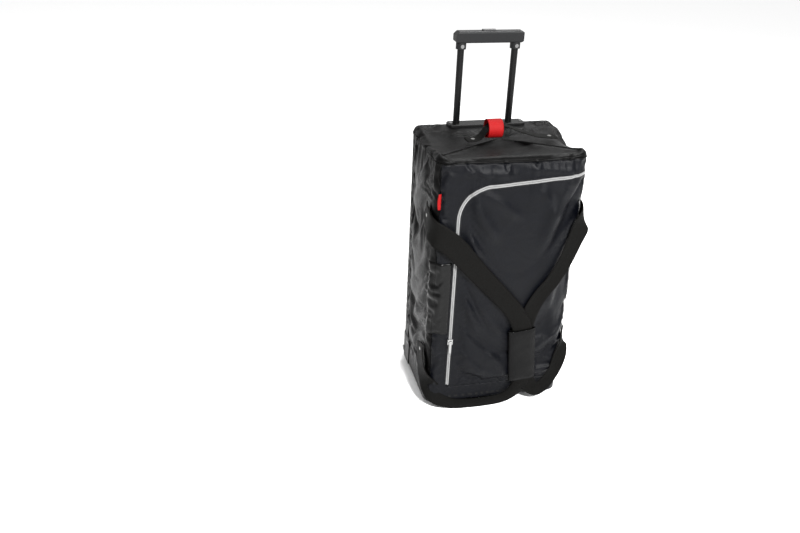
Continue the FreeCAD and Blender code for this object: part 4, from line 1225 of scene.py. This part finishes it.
def springPiece():
    middle = (springBox[0] + springBox[1]) / 2
    radius = (springBox[1].x - springBox[0].x) / 2 - springWork["wire"]
    foot, head = springBox[0].z + springWork["wire"], springBox[1].z - springWork["wire"]
    count, sides = springWork["turns"] * springWork["steps"], springWork["sides"]
    verts, faces = [], []
    for i in range(count + 1):
        turn = 2 * math.pi * i / springWork["steps"]
        outward = Vector((math.cos(turn), math.sin(turn), 0))
        core = Vector((middle.x, middle.y, foot + (head - foot) * i / count)) + outward * radius
        for k in range(sides):
            tip = 2 * math.pi * k / sides
            verts.append(core + (outward * math.cos(tip) + Vector((0, 0,
                math.sin(tip)))) * springWork["wire"])
    for i in range(count):
        for k in range(sides):
            a, b = i * sides + k, i * sides + (k + 1) % sides
            faces.append((a, a + sides, b + sides, b))
    faces.append(tuple(range(sides)))
    faces.append(tuple(reversed(range(count * sides, (count + 1) * sides))))
    wire = finishes["screw_metal"]
    return makePiece("returnSpring", verts, faces, wire, "handle", slot="screw_metal",
        stands=("return_spring",))


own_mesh(springPiece())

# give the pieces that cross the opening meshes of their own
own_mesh(strapLeft)
for piece in (strapRight, wrapPiece):
    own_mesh(piece)

# room, light and camera
room = bpy.data.meshes.new("floor")
room.from_pydata([(-20, -20, 0), (20, -20, 0), (20, 20, 0), (-20, 20, 0)], [], [(0, 1, 2, 3)])
floor = bpy.data.objects.new("floor", room)
bpy.context.scene.collection.objects.link(floor)
floorFinish, floorTree, floorShader = newFinish("paleFloor")
floorShader.inputs["Base Color"].default_value = (0.90, 0.90, 0.90, 1)
floorShader.inputs["Roughness"].default_value = 0.9
floorShader.inputs["Specular IOR Level"].default_value = 0.1
room.materials.append(floorFinish)

world = bpy.data.worlds.new("studio")
world.use_nodes = True
world.node_tree.nodes["Background"].inputs["Color"].default_value = (1, 1, 1, 1)
world.node_tree.nodes["Background"].inputs["Strength"].default_value = 1.0
bpy.context.scene.world = world


def softbox(name, place, target, wide, power):
    lamp = bpy.data.lights.new(name, "AREA")
    lamp.shape = "DISK"
    lamp.size = wide
    lamp.energy = power
    holder = bpy.data.objects.new(name, lamp)
    bpy.context.scene.collection.objects.link(holder)
    holder.location = place
    holder.rotation_mode = "QUATERNION"
    holder.rotation_quaternion = (Vector(target) - Vector(place)).to_track_quat("-Z", "Y")
    return holder


softbox("keyLight", (0.1, -2.3, 2.2), (0, 0, 0.4), 0.5, 280)
softbox("fillLight", (1.9, -1.6, 1.5), (0, 0, 0.4), 1.2, 8)
softbox("topLight", (0.6, 1.0, 2.6), (0, 0, 0.5), 0.8, 60)

camera = bpy.data.cameras.new("camera")
camera.lens, camera.sensor_width = 36, 36
viewer = bpy.data.objects.new("camera", camera)
bpy.context.scene.collection.objects.link(viewer)
rightAxis, upAxis, backAxis = (0.9753, -0.2187, 0.0315), (0.0730, 0.4533, 0.8884), (-0.2086, -0.8641,
    0.4580)
turned = Matrix((rightAxis, upAxis, backAxis)).transposed()
viewer.matrix_world = Matrix.Translation((-0.626, -1.675, 1.232)) @ turned.to_4x4()
bpy.context.scene.camera = viewer
bpy.context.scene.view_settings.view_transform = "Standard"
